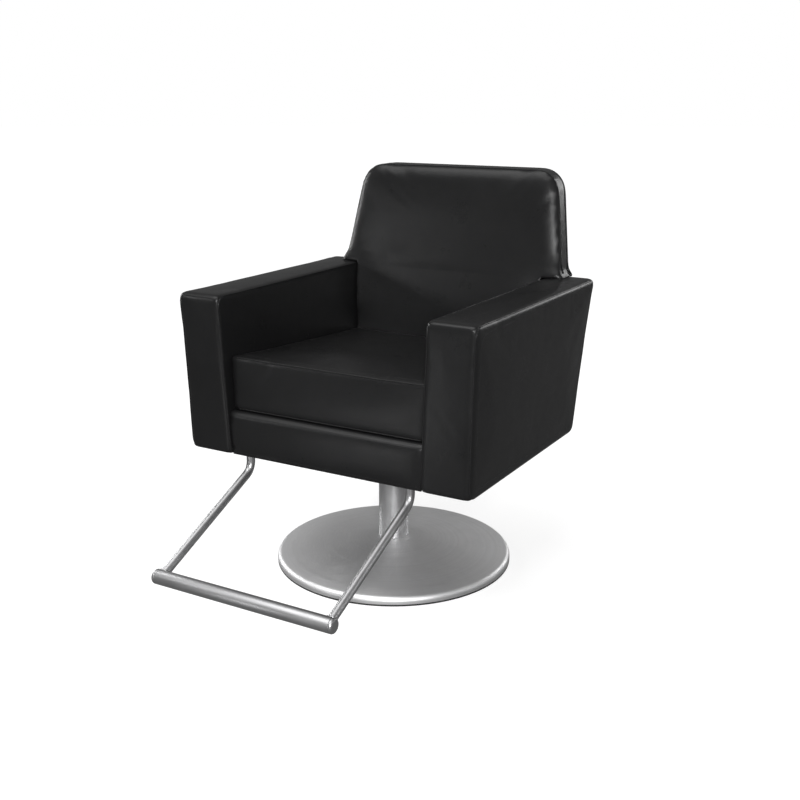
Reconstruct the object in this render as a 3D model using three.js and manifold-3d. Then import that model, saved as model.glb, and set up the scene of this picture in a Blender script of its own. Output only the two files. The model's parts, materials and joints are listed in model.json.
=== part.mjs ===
// Hydraulic styling chair: an upholstered armchair body on a swivelling, foot-pumped column.
// Millimetres, +Z up. The origin is on the floor under the column's axis, and the chair faces -Y.
// "Left" and "right" are the sitter's, so left is +X. The seat stands at its lowest height.

import * as THREE from "three";
import { mergeVertices } from "three/addons/utils/BufferGeometryUtils.js";
import Module from "manifold-3d";

const wasm = await Module();
wasm.setup();

// ---------------------------------------------------------------- driving dimensions

const gap = 0.3; // between two pieces that touch

// Round base
const baseRadius = 276;
const rimHeight = 20;
const coneHeight = 55; // top of the cover, where it meets the column
const rimRound = 12; // width of the rounded rim
const coverWall = 2;
const plateThickness = 10; // cast floor plate
const trimHeight = 4; // rubber ring under the rim
const trimWidth = 13;

// Pump and column
const ramRadius = 19;
const liftTravel = 140; // seat height range
const boreClearance = 2.2; // ram to cylinder wall
const cylinderWall = 8.8;
const annulus = 2.5; // pump body to sleeve
const sleeveWall = 2.5;
const flangeOverhang = 34; // flange beyond the pump body
const flangeThickness = 10;
const pistonLength = 10;
const bushLength = 16;
const bushWall = 5.4;
const wiperLength = 4;
const strokeSpare = 6; // free length left above the piston at full height
const flangeBoltCount = 4;
const flangeBoltRadius = 5;

// Swivel
const raceHeight = 3;
const raceOverhang = 7;
const ballRadius = 3;
const ballCount = 10;
const cageThickness = 2;
const spigotStep = 7; // ram shoulder width
const hubWall = 4.7;
const hubDeck = 10; // hub above the upper race
const retainerHeight = 3;
const retainerWidth = 4.2;
const plateSide = 200; // square seat plate
const seatPlateThickness = 6;
const plateBoltSpacing = 150;
const plateBoltRadius = 4;
const plateBoltBite = 33; // into the cross rails

// Pump lever, which points back and to the right of the chair
const leverTurn = THREE.MathUtils.degToRad(30.4);
const plungerRise = 13; // plunger axis above the cover
const plungerRadius = 6;
const plungerHeadRadius = 9;
const headClearance = 0.2; // plunger head to the bracket's cheeks
const plungerInset = 16; // inner end of the plunger from the column's axis
const springSpace = 20;
const springWire = 1.6;
const springTurns = 4.5;
const leverArm = 28; // pivot above the plunger axis
const leverWidth = 16;
const leverBarHeight = 11;
const noseRadius = 5;
const pivotRadius = 5;
const cheekThickness = 6;
const cheekPlay = 1.2;
const pedalOverhang = 46; // pedal beyond the base
const pedalLength = 56;
const pedalWidth = 64;
const pedalThickness = 6;
const pedalRise = 24; // pedal above the pivot
const pedalPadThickness = 5;

// Wooden seat frame
const insideWidth = 504; // between the arms, at their tops
const footClearance = 3; // frame above the arms' undersides
const railHeight = 80;
const railThickness = 30;
const frontRailDepth = 40;
const boardThickness = 15;
const crossRailSide = 40;
const undersideThickness = 1.5;
const fit = 1.4; // between upholstered faces

// Arms
const armHeight = 351;
const armThickness = 106;
const armFootGrowth = 3; // the arms are a little thicker at the foot
const armSplay = 15.6; // the inner faces lean out by this much over their height
const armFrontFoot = -300.8;
const armFrontLean = 6.6; // the arm's front leans forwards by this much at the top
const armEdge = 10;
const armCorner = 16;
const armSkin = 16; // foam and cover round the frame
const armFrameWall = 12;
const armBoltRadius = 4;
const armBoltRise = 45;
const armBoltPlaces = [-150, 110];

// Seat cushion and apron
const cushionFront = -286;
const cushionFrontHeight = 120;
const cushionRearDrop = 31;
const cushionLift = 2;
const cushionEdge = 9;
const cushionCorner = 15;
const apronFront = -297;
const apronThickness = 6.6;

// Backrest
const backTop = 895 - 652; // above the arms
const backHalfTopExtra = 4; // half width beyond the arms' inner faces, at the top
const backHalfFootExtra = 41; // and just above the arms
const backCorner = 60;
const backFrontFoot = 193; // front face at the arms' undersides
const backFrontSlope = 0.172;
const backRearFoot = 243;
const backRearSlope = 0.197;
const backEdge = 6;
const backMargin = 26; // backrest board inside the outline
const boardShare = [0.6, 0.84]; // the board's place in the backrest's thickness
const rearPanelShare = 0.86;
const backBoltRadius = 4;
const backBoltSpacing = 300;
const backBoltRise = 40;

// Footrest
const footTubeRadius = 9.5;
const footTubeWall = 2;
const footTubeInset = 50; // tubes inside the arms' inner faces
const footTubeBack = 19; // tubes behind the apron's front
const footTubeSocket = 50; // length inside the front rail
const footBendDrop = 34; // bend below the underside
const footBendRadius = 32;
const footBarReach = 275; // bar in front of the arms
const footBarDrop = 172; // bar below the underside
const footBarRadius = 15.5;
const footBarWall = 2;
const footBarOverhang = 7; // bar beyond the tubes' centres
const footCapLength = 8;
const footCapPlug = 14;
const footBoltRadius = 3;

// ---------------------------------------------------------------- derived dimensions

const boreRadius = ramRadius + boreClearance;
const pumpRadius = boreRadius + cylinderWall;
const bushSeat = ramRadius + gap + bushWall + gap;
const sleeveInner = pumpRadius + annulus;
const sleeveRadius = sleeveInner + sleeveWall;
const flangeBottom = plateThickness + gap;
const flangeTop = flangeBottom + flangeThickness;
const flangeRadius = pumpRadius + flangeOverhang;
const plungerHeight = coneHeight + plungerRise;
const cylinderFloor = plungerHeight + plungerHeadRadius + 7;
const pistonFoot = cylinderFloor + 1.5;
const ramFoot = pistonFoot + pistonLength + gap;
const bushFoot = ramFoot + liftTravel + strokeSpare;
const wiperFoot = bushFoot + bushLength + gap;
const pumpTop = wiperFoot + wiperLength;
const sleeveTop = pumpTop + 1;
const hubFoot = sleeveTop + 3;
const shoulder = hubFoot + 3;
const lowerRace = shoulder + gap;
const ballFoot = lowerRace + raceHeight + gap;
const upperRace = ballFoot + 2 * ballRadius + gap;
const hubDeckFoot = upperRace + raceHeight + gap;
const retainerFoot = hubDeckFoot + hubDeck + gap;
const hubTop = retainerFoot + retainerHeight + 5;
const underside = hubTop + gap;
const seatPlateTop = underside + seatPlateThickness;
const spigotRadius = ramRadius - spigotStep;
const raceRadius = ramRadius + raceOverhang;
const hubRadius = raceRadius + 0.5 + hubWall;

const armTop = underside + armHeight;
const insideHalf = insideWidth / 2;
const railFoot = underside + footClearance;
const railTop = railFoot + railHeight;
const boardFoot = railTop + gap;
const boardTop = boardFoot + boardThickness;
const cushionFoot = boardTop + cushionLift;
const frontRailFront = apronFront + apronThickness + gap;
const frontRailRear = frontRailFront + frontRailDepth;

const innerHalf = (z) => insideHalf - (armSplay * (armTop - z)) / armHeight;
const backFront = (z) => backFrontFoot + backFrontSlope * (z - underside);
const backRear = (z) => backRearFoot + backRearSlope * (z - underside);
const armFront = (z) => armFrontFoot - (armFrontLean * (z - underside)) / armHeight;

// ---------------------------------------------------------------- materials

const material = (color, roughness, metalness) =>
  new THREE.MeshStandardMaterial({ color, roughness, metalness });
const finishes = {
  vinyl: material(0x1d1d1e, 0.35, 0),
  satinSteel: material(0xb4b6b8, 0.35, 1),
  castIron: material(0x4a4b4d, 0.6, 1),
  paintedIron: material(0x2b2c2e, 0.5, 0.3),
  polishedSteel: material(0xd6d8da, 0.12, 1),
  zincSteel: material(0xa9abad, 0.4, 1),
  bronze: material(0xb08a4e, 0.4, 1),
  rubber: material(0x161617, 0.8, 0),
  plywood: material(0xb98f5c, 0.7, 0),
  hardwood: material(0x9c7446, 0.65, 0),
  lining: material(0x1a1a1a, 0.95, 0),
};

// ---------------------------------------------------------------- shape helpers

const flatNormals = (geometry) => {
  const plain = geometry.index ? geometry.toNonIndexed() : geometry;
  plain.computeVertexNormals();
  return plain;
};

function toSolid(geometry) {
  const loose = geometry.index ? geometry.toNonIndexed() : geometry;
  const bare = new THREE.BufferGeometry();
  bare.setAttribute("position", loose.getAttribute("position"));
  const merged = mergeVertices(bare, 1e-4);
  const vertProperties = new Float32Array(merged.getAttribute("position").array);
  const triVerts = new Uint32Array(merged.index.array);
  return new wasm.Manifold(new wasm.Mesh({ numProp: 3, vertProperties, triVerts }));
}

function toGeometry(solid) {
  const mesh = solid.getMesh();
  const geometry = new THREE.BufferGeometry();
  geometry.setAttribute("position", new THREE.BufferAttribute(mesh.vertProperties, 3));
  geometry.setIndex(new THREE.BufferAttribute(mesh.triVerts, 1));
  return flatNormals(geometry);
}

const cut = (body, ...tools) =>
  toGeometry(tools.reduce((solid, tool) => solid.subtract(toSolid(tool)), toSolid(body)));
const join = (...bodies) =>
  toGeometry(bodies.map(toSolid).reduce((all, solid) => all.add(solid)));

// A box from its low corner to its high corner.
function block(low, high) {
  const size = high.map((value, axis) => value - low[axis]);
  const centre = high.map((value, axis) => (value + low[axis]) / 2);
  return new THREE.BoxGeometry(...size).translate(...centre);
}

// A body turned about Z from [radius, height] points, anticlockwise in that plane.
function turned(profile, segments = 32) {
  const points = profile.map(([radius, height]) => new THREE.Vector2(radius, height));
  return new THREE.LatheGeometry(points, segments).rotateX(Math.PI / 2);
}

// A ring of rectangular section.
const ring = (inner, outer, foot, top, segments = 32) =>
  turned(
    [
      [inner, foot],
      [outer, foot],
      [outer, top],
      [inner, top],
      [inner, foot],
    ],
    segments,
  );

const disc = (radius, foot, top, segments = 32) =>
  turned(
    [
      [0, foot],
      [radius, foot],
      [radius, top],
      [0, top],
    ],
    segments,
  );

// A rod along X or Y.
function rod(axis, radius, from, to, across, height, segments = 16) {
  const body = new THREE.CylinderGeometry(radius, radius, to - from, segments);
  if (axis === "x") return body.rotateZ(-Math.PI / 2).translate((from + to) / 2, across, height);
  return body.translate(across, (from + to) / 2, height);
}

// A closed outline with its corners rounded: [x, y, radius] for each corner.
function roundedOutline(corners) {
  const shape = new THREE.Shape();
  const roundness = 0.5523; // cubic handle length that gives a quarter circle
  corners.forEach(([x, y, radius = 0], index) => {
    const corner = new THREE.Vector2(x, y);
    const before = new THREE.Vector2(...corners.at(index - 1));
    const after = new THREE.Vector2(...corners[(index + 1) % corners.length]);
    const back = before.sub(corner).normalize();
    const ahead = after.sub(corner).normalize();
    const start = corner.clone().addScaledVector(back, radius);
    const end = corner.clone().addScaledVector(ahead, radius);
    if (index === 0) shape.moveTo(start.x, start.y);
    else shape.lineTo(start.x, start.y);
    if (radius === 0) return;
    const first = start.clone().lerp(corner, roundness);
    const second = end.clone().lerp(corner, roundness);
    shape.bezierCurveTo(first.x, first.y, second.x, second.y, end.x, end.y);
  });
  shape.closePath();
  return shape;
}

// An outline extruded along Z from 0 to depth, its end edges rounded by edge.
function extruded(shape, depth, edge = 0, curveSegments = 3, bevelSegments = 3) {
  const settings = { curveSegments, steps: 1, depth: depth - 2 * edge, bevelEnabled: edge > 0 };
  const bevel = { bevelThickness: edge, bevelSize: edge, bevelOffset: -edge, bevelSegments };
  return new THREE.ExtrudeGeometry(shape, { ...settings, ...bevel }).translate(0, 0, edge);
}

const basis = (x, y, z) => new THREE.Matrix4().makeBasis(x, y, z);
const [unitX, unitY, unitZ] = [0, 1, 2].map((axis) => new THREE.Vector3().setComponent(axis, 1));

// An outline in (y, z), extruded along X between two values.
const alongX = (shape, from, to, edge, curves, bevels) =>
  extruded(shape, to - from, edge, curves, bevels)
    .applyMatrix4(basis(unitY, unitZ, unitX))
    .translate(from, 0, 0);

// An outline in (x, z), extruded along Y between two values.
const alongY = (shape, from, to, edge, curves, bevels) =>
  extruded(shape, to - from, edge, curves, bevels)
    .applyMatrix4(basis(unitX, unitZ, unitY.clone().negate()))
    .translate(0, to, 0);

// Moves every point of a geometry by a rule on its coordinates.
function reshape(geometry, rule) {
  const position = geometry.getAttribute("position");
  for (let index = 0; index < position.count; index += 1) {
    const point = rule(position.getX(index), position.getY(index), position.getZ(index));
    position.setXYZ(index, ...point);
  }
  return flatNormals(geometry);
}

// Narrows a piece that lies between the arms, as the arms' inner faces close in downwards.
const betweenArms = (geometry) =>
  reshape(geometry, (x, y, z) => [(x * innerHalf(z)) / insideHalf, y, z]);

// Lays a slab into the backrest: y is its share of the thickness, from front 0 to rear 1.
const inBackrest = (geometry) =>
  reshape(geometry, (x, y, z) => [x, backFront(z) + y * (backRear(z) - backFront(z)), z]);

// A path of straight stretches, stepped at its own corners.
class Polyline extends THREE.Curve {
  constructor(points) {
    super();
    this.points = points;
  }
  getPoint(t, target = new THREE.Vector3()) {
    const place = Math.min(Math.max(t, 0), 1) * (this.points.length - 1);
    const index = Math.min(Math.floor(place), this.points.length - 2);
    return target.lerpVectors(this.points[index], this.points[index + 1], place - index);
  }
  getUtoTmapping(u) {
    return u;
  }
}

// A round bar or tube along a list of points.
function swept(points, radius, wall, sides) {
  const section = new THREE.Shape().absarc(0, 0, radius, 0, 2 * Math.PI);
  if (wall > 0) section.holes.push(new THREE.Path().absarc(0, 0, radius - wall, 0, 2 * Math.PI));
  const extrudePath = new Polyline(points);
  const steps = points.length - 1;
  return new THREE.ExtrudeGeometry(section, { steps, curveSegments: sides, extrudePath });
}

// A hexagon bolt with its head's bearing face at Z = 0, its head below and its shank above.
function hexBolt(shankRadius, shankLength) {
  const headRadius = shankRadius * 1.9;
  const headHeight = shankRadius * 1.35;
  const head = new THREE.CylinderGeometry(headRadius, headRadius * 0.93, headHeight, 6);
  head.rotateX(Math.PI / 2).translate(0, 0, -headHeight / 2);
  const shank = disc(shankRadius, -headHeight / 2, shankLength, 12);
  return join(head, shank);
}

// ---------------------------------------------------------------- the model's tree

const chair = new THREE.Group();
const leverGroup = new THREE.Group();
leverGroup.rotation.z = leverTurn;
chair.add(leverGroup);

function add(name, geometry, finish, group = chair) {
  const mesh = new THREE.Mesh(flatNormals(geometry), finishes[finish]);
  mesh.name = name;
  group.add(mesh);
  return mesh;
}

// ---------------------------------------------------------------- round base

function buildBase() {
  const plateRadius = baseRadius - trimWidth - gap;
  const plate = disc(plateRadius, 0, plateThickness, 48);
  add("base_plate", plate, "castIron");

  const trim = turned(
    [
      [baseRadius - trimWidth, 0],
      [baseRadius - 1, 0],
      [baseRadius, 1],
      [baseRadius, trimHeight],
      [baseRadius - trimWidth, trimHeight],
      [baseRadius - trimWidth, 0],
    ],
    48,
  );
  add("base_trim_ring", trim, "rubber");

  const rimFoot = trimHeight + gap;
  const rimInner = baseRadius - rimRound;
  const neck = sleeveRadius + gap;
  const roundSteps = 4;
  const outer = [[baseRadius, rimFoot]];
  for (let step = 0; step <= roundSteps; step += 1) {
    const angle = (step / roundSteps) * (Math.PI / 2);
    const radius = rimInner + rimRound * Math.cos(angle);
    outer.push([radius, rimHeight - rimRound + rimRound * Math.sin(angle)]);
  }
  outer.push([neck, coneHeight]);
  const inner = [
    [neck, coneHeight - coverWall],
    [rimInner, rimHeight - coverWall],
    [baseRadius - coverWall, rimHeight - rimRound],
    [baseRadius - coverWall, rimFoot],
  ];
  add("base_cover", turned([...outer, ...inner, outer[0]], 48), "satinSteel");
}

// ---------------------------------------------------------------- pump, column and lever

function buildPump() {
  const boltCircle = pumpRadius + flangeOverhang * 0.6;
  const body = turned([
    [0, flangeBottom],
    [flangeRadius, flangeBottom],
    [flangeRadius, flangeTop],
    [pumpRadius, flangeTop],
    [pumpRadius, pumpTop],
    [bushSeat, pumpTop],
    [bushSeat, bushFoot - gap],
    [boreRadius, bushFoot - gap],
    [boreRadius, cylinderFloor],
    [0, cylinderFloor],
  ]);
  const plungerBore = rod("y", plungerRadius + gap, plungerInset - 8, pumpRadius + 5, 0, plungerHeight);
  plungerBore.rotateZ(leverTurn);
  const boltHoles = [];
  for (let index = 0; index < flangeBoltCount; index += 1) {
    const angle = ((index + 0.5) / flangeBoltCount) * 2 * Math.PI;
    const x = boltCircle * Math.cos(angle);
    const y = boltCircle * Math.sin(angle);
    const hole = disc(flangeBoltRadius + gap, flangeBottom - 1, flangeTop + 1, 12);
    boltHoles.push(hole.translate(x, y, 0));
    const bolt = hexBolt(flangeBoltRadius, flangeThickness - gap);
    bolt.rotateX(Math.PI).translate(x, y, flangeTop + gap);
    add(`flange_bolt_${index + 1}`, bolt, "zincSteel");
  }
  add("pump_body", cut(body, plungerBore, ...boltHoles), "paintedIron");

  const sleeve = ring(sleeveInner, sleeveRadius, flangeTop + gap, sleeveTop, 48);
  const plungerWindow = rod("y", plungerRadius + 1, pumpRadius, sleeveRadius + 5, 0, plungerHeight);
  add("column_sleeve", cut(sleeve, plungerWindow.rotateZ(leverTurn)), "satinSteel");

  add("guide_bush", ring(ramRadius + gap, bushSeat - gap, bushFoot, bushFoot + bushLength), "bronze");
  const lip = ramRadius + gap;
  const wiper = turned([
    [lip + 1.5, wiperFoot],
    [bushSeat - gap, wiperFoot],
    [bushSeat - gap, pumpTop],
    [lip, pumpTop],
    [lip + 1.5, wiperFoot],
  ]);
  add("wiper_seal", wiper, "rubber");
}

function buildRam() {
  const ram = turned([
    [0, ramFoot],
    [ramRadius, ramFoot],
    [ramRadius, shoulder],
    [spigotRadius, shoulder],
    [spigotRadius, hubTop - 1.5],
    [0, hubTop - 1.5],
  ]);
  add("ram", ram, "polishedSteel");

  const land = boreRadius - gap;
  const groove = land - 2.6;
  const grooveFoot = pistonFoot + 3;
  const grooveTop = pistonFoot + pistonLength - 3;
  const piston = turned([
    [0, pistonFoot],
    [land, pistonFoot],
    [land, grooveFoot],
    [groove, grooveFoot],
    [groove, grooveTop],
    [land, grooveTop],
    [land, pistonFoot + pistonLength],
    [0, pistonFoot + pistonLength],
  ]);
  add("ram_piston", piston, "zincSteel");
  add("piston_seal", ring(groove + gap, land, grooveFoot + gap, grooveTop - gap), "rubber");
}

function buildLever() {
  const head = sleeveRadius + springSpace;
  const plungerFace = head + 4;
  const plunger = join(
    rod("y", plungerRadius, plungerInset, head + 1, 0, plungerHeight),
    rod("y", plungerHeadRadius, head, plungerFace, 0, plungerHeight, 20),
  );
  add("pump_plunger", plunger, "polishedSteel", leverGroup);

  const coilRadius = plungerRadius + springWire;
  const cheekInner = Math.max(
    leverWidth / 2 + cheekPlay,
    plungerHeadRadius + headClearance,
    coilRadius + springWire / 2 + gap,
  );
  const bracketHalf = cheekInner + cheekThickness;
  const bracketFoot = coneHeight + 3;
  const pivotHeight = plungerHeight + leverArm;
  const noseY = plungerFace + gap + noseRadius;
  const pivotY = noseY + 4.7;
  const bracketReach = pivotY + 12;
  const bracketTop = pivotHeight + 12;
  const webReach = sleeveRadius + 6;

  const springStart = webReach + springWire;
  const stepsPerTurn = 10;
  const springPoints = [];
  for (let step = 0; step <= springTurns * stepsPerTurn; step += 1) {
    const angle = (step / stepsPerTurn) * 2 * Math.PI;
    const along = (step / (springTurns * stepsPerTurn)) * (head - springStart - springWire);
    const x = coilRadius * Math.cos(angle);
    const z = plungerHeight + coilRadius * Math.sin(angle);
    springPoints.push(new THREE.Vector3(x, springStart + along, z));
  }
  add("plunger_spring", swept(springPoints, springWire / 2, 0, 3), "zincSteel", leverGroup);

  const profile = roundedOutline([
    [sleeveRadius - 12, bracketFoot, 0],
    [webReach + 4, bracketFoot, 0],
    [bracketReach, pivotHeight - 12, 8],
    [bracketReach, bracketTop, 10],
    [sleeveRadius - 12, bracketTop, 0],
  ]);
  const bracket = cut(
    alongX(profile, -bracketHalf, bracketHalf),
    block(
      [-cheekInner, webReach, bracketFoot - 5],
      [cheekInner, bracketReach + 5, bracketTop + 5],
    ),
    disc(sleeveRadius + gap, bracketFoot - 5, bracketTop + 5, 48),
    rod("y", plungerRadius + 1, 0, webReach + 5, 0, plungerHeight),
    rod("x", pivotRadius + gap, -bracketHalf - 5, bracketHalf + 5, pivotY, pivotHeight),
  );
  add("lever_bracket", bracket, "paintedIron", leverGroup);

  const pinHeadRadius = pivotRadius + 3;
  const pinHead = 2.5;
  const pin = join(
    rod("x", pivotRadius, -bracketHalf - 1, bracketHalf + 1, pivotY, pivotHeight),
    rod("x", pinHeadRadius, bracketHalf + gap, bracketHalf + gap + pinHead, pivotY, pivotHeight),
    rod("x", pinHeadRadius, -bracketHalf - gap - pinHead, -bracketHalf - gap, pivotY, pivotHeight),
  );
  add("lever_pin", pin, "zincSteel", leverGroup);

  const pedalRear = baseRadius + pedalOverhang - pedalLength;
  const pedalFront = baseRadius + pedalOverhang;
  const pedalHeight = pivotHeight + pedalRise;
  const barHalf = leverBarHeight / 2;
  const eyeRadius = pivotRadius + 6;
  const bar = roundedOutline([
    [pivotY, pivotHeight - barHalf, 0],
    [pedalRear, pedalHeight - leverBarHeight, 10],
    [pedalRear + 12, pedalHeight - leverBarHeight, 0],
    [pedalRear + 12, pedalHeight, 0],
    [pedalRear, pedalHeight, 10],
    [pivotY, pivotHeight + barHalf, 0],
  ]);
  const arm = roundedOutline([
    [noseY - noseRadius * 0.8, plungerHeight, 0],
    [noseY + noseRadius * 0.8, plungerHeight, 0],
    [pivotY + noseRadius, pivotHeight, 0],
    [pivotY - noseRadius, pivotHeight, 0],
  ]);
  const half = leverWidth / 2;
  const plate = block(
    [-pedalWidth / 2, pedalRear, pedalHeight - pedalThickness],
    [pedalWidth / 2, pedalFront, pedalHeight],
  );
  const lever = cut(
    join(
      alongX(bar, -half, half),
      alongX(arm, -half, half),
      rod("x", noseRadius, -half, half, noseY, plungerHeight),
      rod("x", eyeRadius, -half, half, pivotY, pivotHeight, 24),
      plate,
    ),
    rod("x", pivotRadius + gap, -half - 5, half + 5, pivotY, pivotHeight),
  );
  add("pump_lever", lever, "satinSteel", leverGroup);

  const padHalf = pedalWidth / 2 - 1;
  const padFoot = pedalHeight + gap;
  const padOutline = roundedOutline([
    [-padHalf, pedalRear + 1, 6],
    [padHalf, pedalRear + 1, 6],
    [padHalf, pedalFront - 1, 6],
    [-padHalf, pedalFront - 1, 6],
  ]);
  const pad = extruded(padOutline, pedalPadThickness, 1.5, 3, 1).translate(0, 0, padFoot);
  add("pedal_pad", pad, "rubber", leverGroup);
}

// ---------------------------------------------------------------- swivel and seat plate

function buildSwivel() {
  const raceInner = spigotRadius + gap;
  add("bearing_race_lower", ring(raceInner, raceRadius, lowerRace, lowerRace + raceHeight), "zincSteel");
  add("bearing_race_upper", ring(raceInner, raceRadius, upperRace, upperRace + raceHeight), "zincSteel");

  const ballHeight = ballFoot + ballRadius;
  const cageFoot = ballHeight - cageThickness / 2;
  const cage = [ring(ramRadius - 5, ramRadius + 5, cageFoot, cageFoot + cageThickness)];
  for (let index = 0; index < ballCount; index += 1) {
    const angle = (index / ballCount) * 2 * Math.PI;
    const ball = new THREE.SphereGeometry(ballRadius, 6, 5);
    cage.push(ball.translate(ramRadius * Math.cos(angle), ramRadius * Math.sin(angle), ballHeight));
  }
  add("bearing_cage", join(...cage), "zincSteel");

  const retainer = ring(raceInner, spigotRadius + retainerWidth, retainerFoot, retainerFoot + retainerHeight);
  add("retaining_ring", retainer, "zincSteel");

  const deckBore = spigotRadius + 0.5;
  const recess = spigotRadius + retainerWidth + 0.8;
  const hub = turned([
    [raceRadius + 0.5, hubFoot],
    [hubRadius, hubFoot],
    [hubRadius, hubTop],
    [recess, hubTop],
    [recess, retainerFoot - gap],
    [deckBore, retainerFoot - gap],
    [deckBore, hubDeckFoot],
    [raceRadius + 0.5, hubDeckFoot],
    [raceRadius + 0.5, hubFoot],
  ]);
  add("swivel_hub", hub, "paintedIron");

  const half = plateSide / 2;
  const spread = plateBoltSpacing / 2;
  const square = roundedOutline([
    [-half, -half, 12],
    [half, -half, 12],
    [half, half, 12],
    [-half, half, 12],
  ]);
  const plate = extruded(square, seatPlateThickness).translate(0, 0, underside);
  const places = [
    [-spread, -spread],
    [spread, -spread],
    [spread, spread],
    [-spread, spread],
  ];
  const holes = places.map(([x, y]) =>
    disc(plateBoltRadius + gap, underside - 1, seatPlateTop + 1, 12).translate(x, y, 0),
  );
  add("mounting_plate", cut(plate, ...holes), "paintedIron");
  places.forEach(([x, y], index) => {
    const bolt = hexBolt(plateBoltRadius, seatPlateThickness + gap + plateBoltBite);
    add(`plate_bolt_${index + 1}`, bolt.translate(x, y, underside - gap), "zincSteel");
  });
}

// ---------------------------------------------------------------- wooden seat frame

function buildFrame() {
  const sideOuter = insideHalf - fit;
  const sideInner = sideOuter - railThickness;
  const scaleAt = (z) => innerHalf(z) / insideHalf;
  const sideRear = backFront(railFoot) - gap;
  const boltHeight = underside + armBoltRise;

  for (const [side, sign] of [
    ["left", 1],
    ["right", -1],
  ]) {
    const low = Math.min(sign * sideInner, sign * sideOuter);
    const box = block(
      [low, frontRailRear + gap, railFoot],
      [low + railThickness, sideRear, railTop],
    );
    const holes = armBoltPlaces.map((y) => {
      const reach = sign * (sideOuter + 10);
      const start = sign * (sideInner - 40);
      return rod("x", armBoltRadius + gap, Math.min(start, reach), Math.max(start, reach), y, boltHeight);
    });
    add(`seat_rail_${side}`, cut(betweenArms(box), ...holes), "hardwood");
  }

  const tubeX = insideHalf - footTubeInset;
  const tubeY = apronFront + footTubeBack;
  const frontRail = betweenArms(
    block([-sideOuter, frontRailFront, railFoot], [sideOuter, frontRailRear, railTop]),
  );
  const socketTop = underside + footTubeSocket + 1;
  const footBoltHeight = underside + footTubeSocket - 15;
  const sockets = [-tubeX, tubeX].flatMap((x) => [
    disc(footTubeRadius + gap, railFoot - 5, socketTop, 20).translate(x, tubeY, 0),
    rod("y", footBoltRadius + gap, tubeY, frontRailRear + 5, x, footBoltHeight, 12),
  ]);
  add("seat_rail_front", cut(frontRail, ...sockets), "hardwood");

  const rearOutline = roundedOutline([
    [-sideOuter, railFoot],
    [sideOuter, railFoot],
    [sideOuter, railTop],
    [-sideOuter, railTop],
  ]);
  const rearRail = betweenArms(inBackrest(alongY(rearOutline, 0, boardShare[0] - 0.01)));
  const backBolts = [-1, 1].map((sign) => {
    const x = (sign * backBoltSpacing) / 2;
    const z = underside + backBoltRise;
    return rod("y", backBoltRadius + gap, backFront(z) + 6, backRear(z), x, z, 12);
  });
  add("seat_rail_rear", cut(rearRail, ...backBolts), "hardwood");

  const crossHalf = sideInner * scaleAt(railFoot) - gap;
  const crossFoot = seatPlateTop + gap;
  const spread = plateBoltSpacing / 2;
  for (const [place, y] of [
    ["front", -spread],
    ["rear", spread],
  ]) {
    const bar = block(
      [-crossHalf, y - crossRailSide / 2, crossFoot],
      [crossHalf, y + crossRailSide / 2, crossFoot + crossRailSide],
    );
    const holes = [-spread, spread].map((x) =>
      disc(plateBoltRadius + gap, crossFoot - 1, crossFoot + plateBoltBite + 1, 12).translate(x, y, 0),
    );
    add(`cross_rail_${place}`, cut(bar, ...holes), "hardwood");
  }

  const boardFront = frontRailRear - 12;
  const board = block(
    [-sideOuter + 3, boardFront, boardFoot],
    [sideOuter - 3, backFront(boardFoot) - fit, boardTop],
  );
  add("seat_board", betweenArms(board), "plywood");

  const liningFoot = underside + 1;
  const holeHalf = plateSide / 2 + 2;
  const lining = cut(
    betweenArms(
      block(
        [-sideOuter, frontRailFront + 1, liningFoot],
        [sideOuter, backFront(liningFoot) + 20, liningFoot + undersideThickness],
      ),
    ),
    block([-holeHalf, -holeHalf, liningFoot - 1], [holeHalf, holeHalf, railFoot]),
    ...[-tubeX, tubeX].map((x) =>
      disc(footTubeRadius + 1, liningFoot - 1, railFoot, 20).translate(x, tubeY, 0),
    ),
  );
  add("underside_lining", lining, "lining");
}

// ---------------------------------------------------------------- upholstery

function buildCushionAndApron() {
  const half = insideHalf - fit;
  const topFront = cushionFoot + cushionFrontHeight;
  const topRear = topFront - cushionRearDrop;
  const cushion = roundedOutline([
    [cushionFront, cushionFoot, cushionCorner],
    [backFront(cushionFoot) - fit, cushionFoot, cushionCorner],
    [backFront(topRear) - fit, topRear, cushionCorner],
    [cushionFront + 3, topFront, cushionCorner + 5],
  ]);
  add("seat_cushion", betweenArms(alongX(cushion, -half, half, cushionEdge)), "vinyl");

  const apronTop = boardTop;
  const apron = roundedOutline([
    [apronFront, underside, 3],
    [apronFront + apronThickness, underside, 0],
    [apronFront + apronThickness, railTop + gap, 0],
    [frontRailRear - 13, railTop + gap, 0],
    [frontRailRear - 13, apronTop, 4],
    [apronFront, apronTop, 12],
  ]);
  add("seat_apron", betweenArms(alongX(apron, -half, half)), "vinyl");
}

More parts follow.
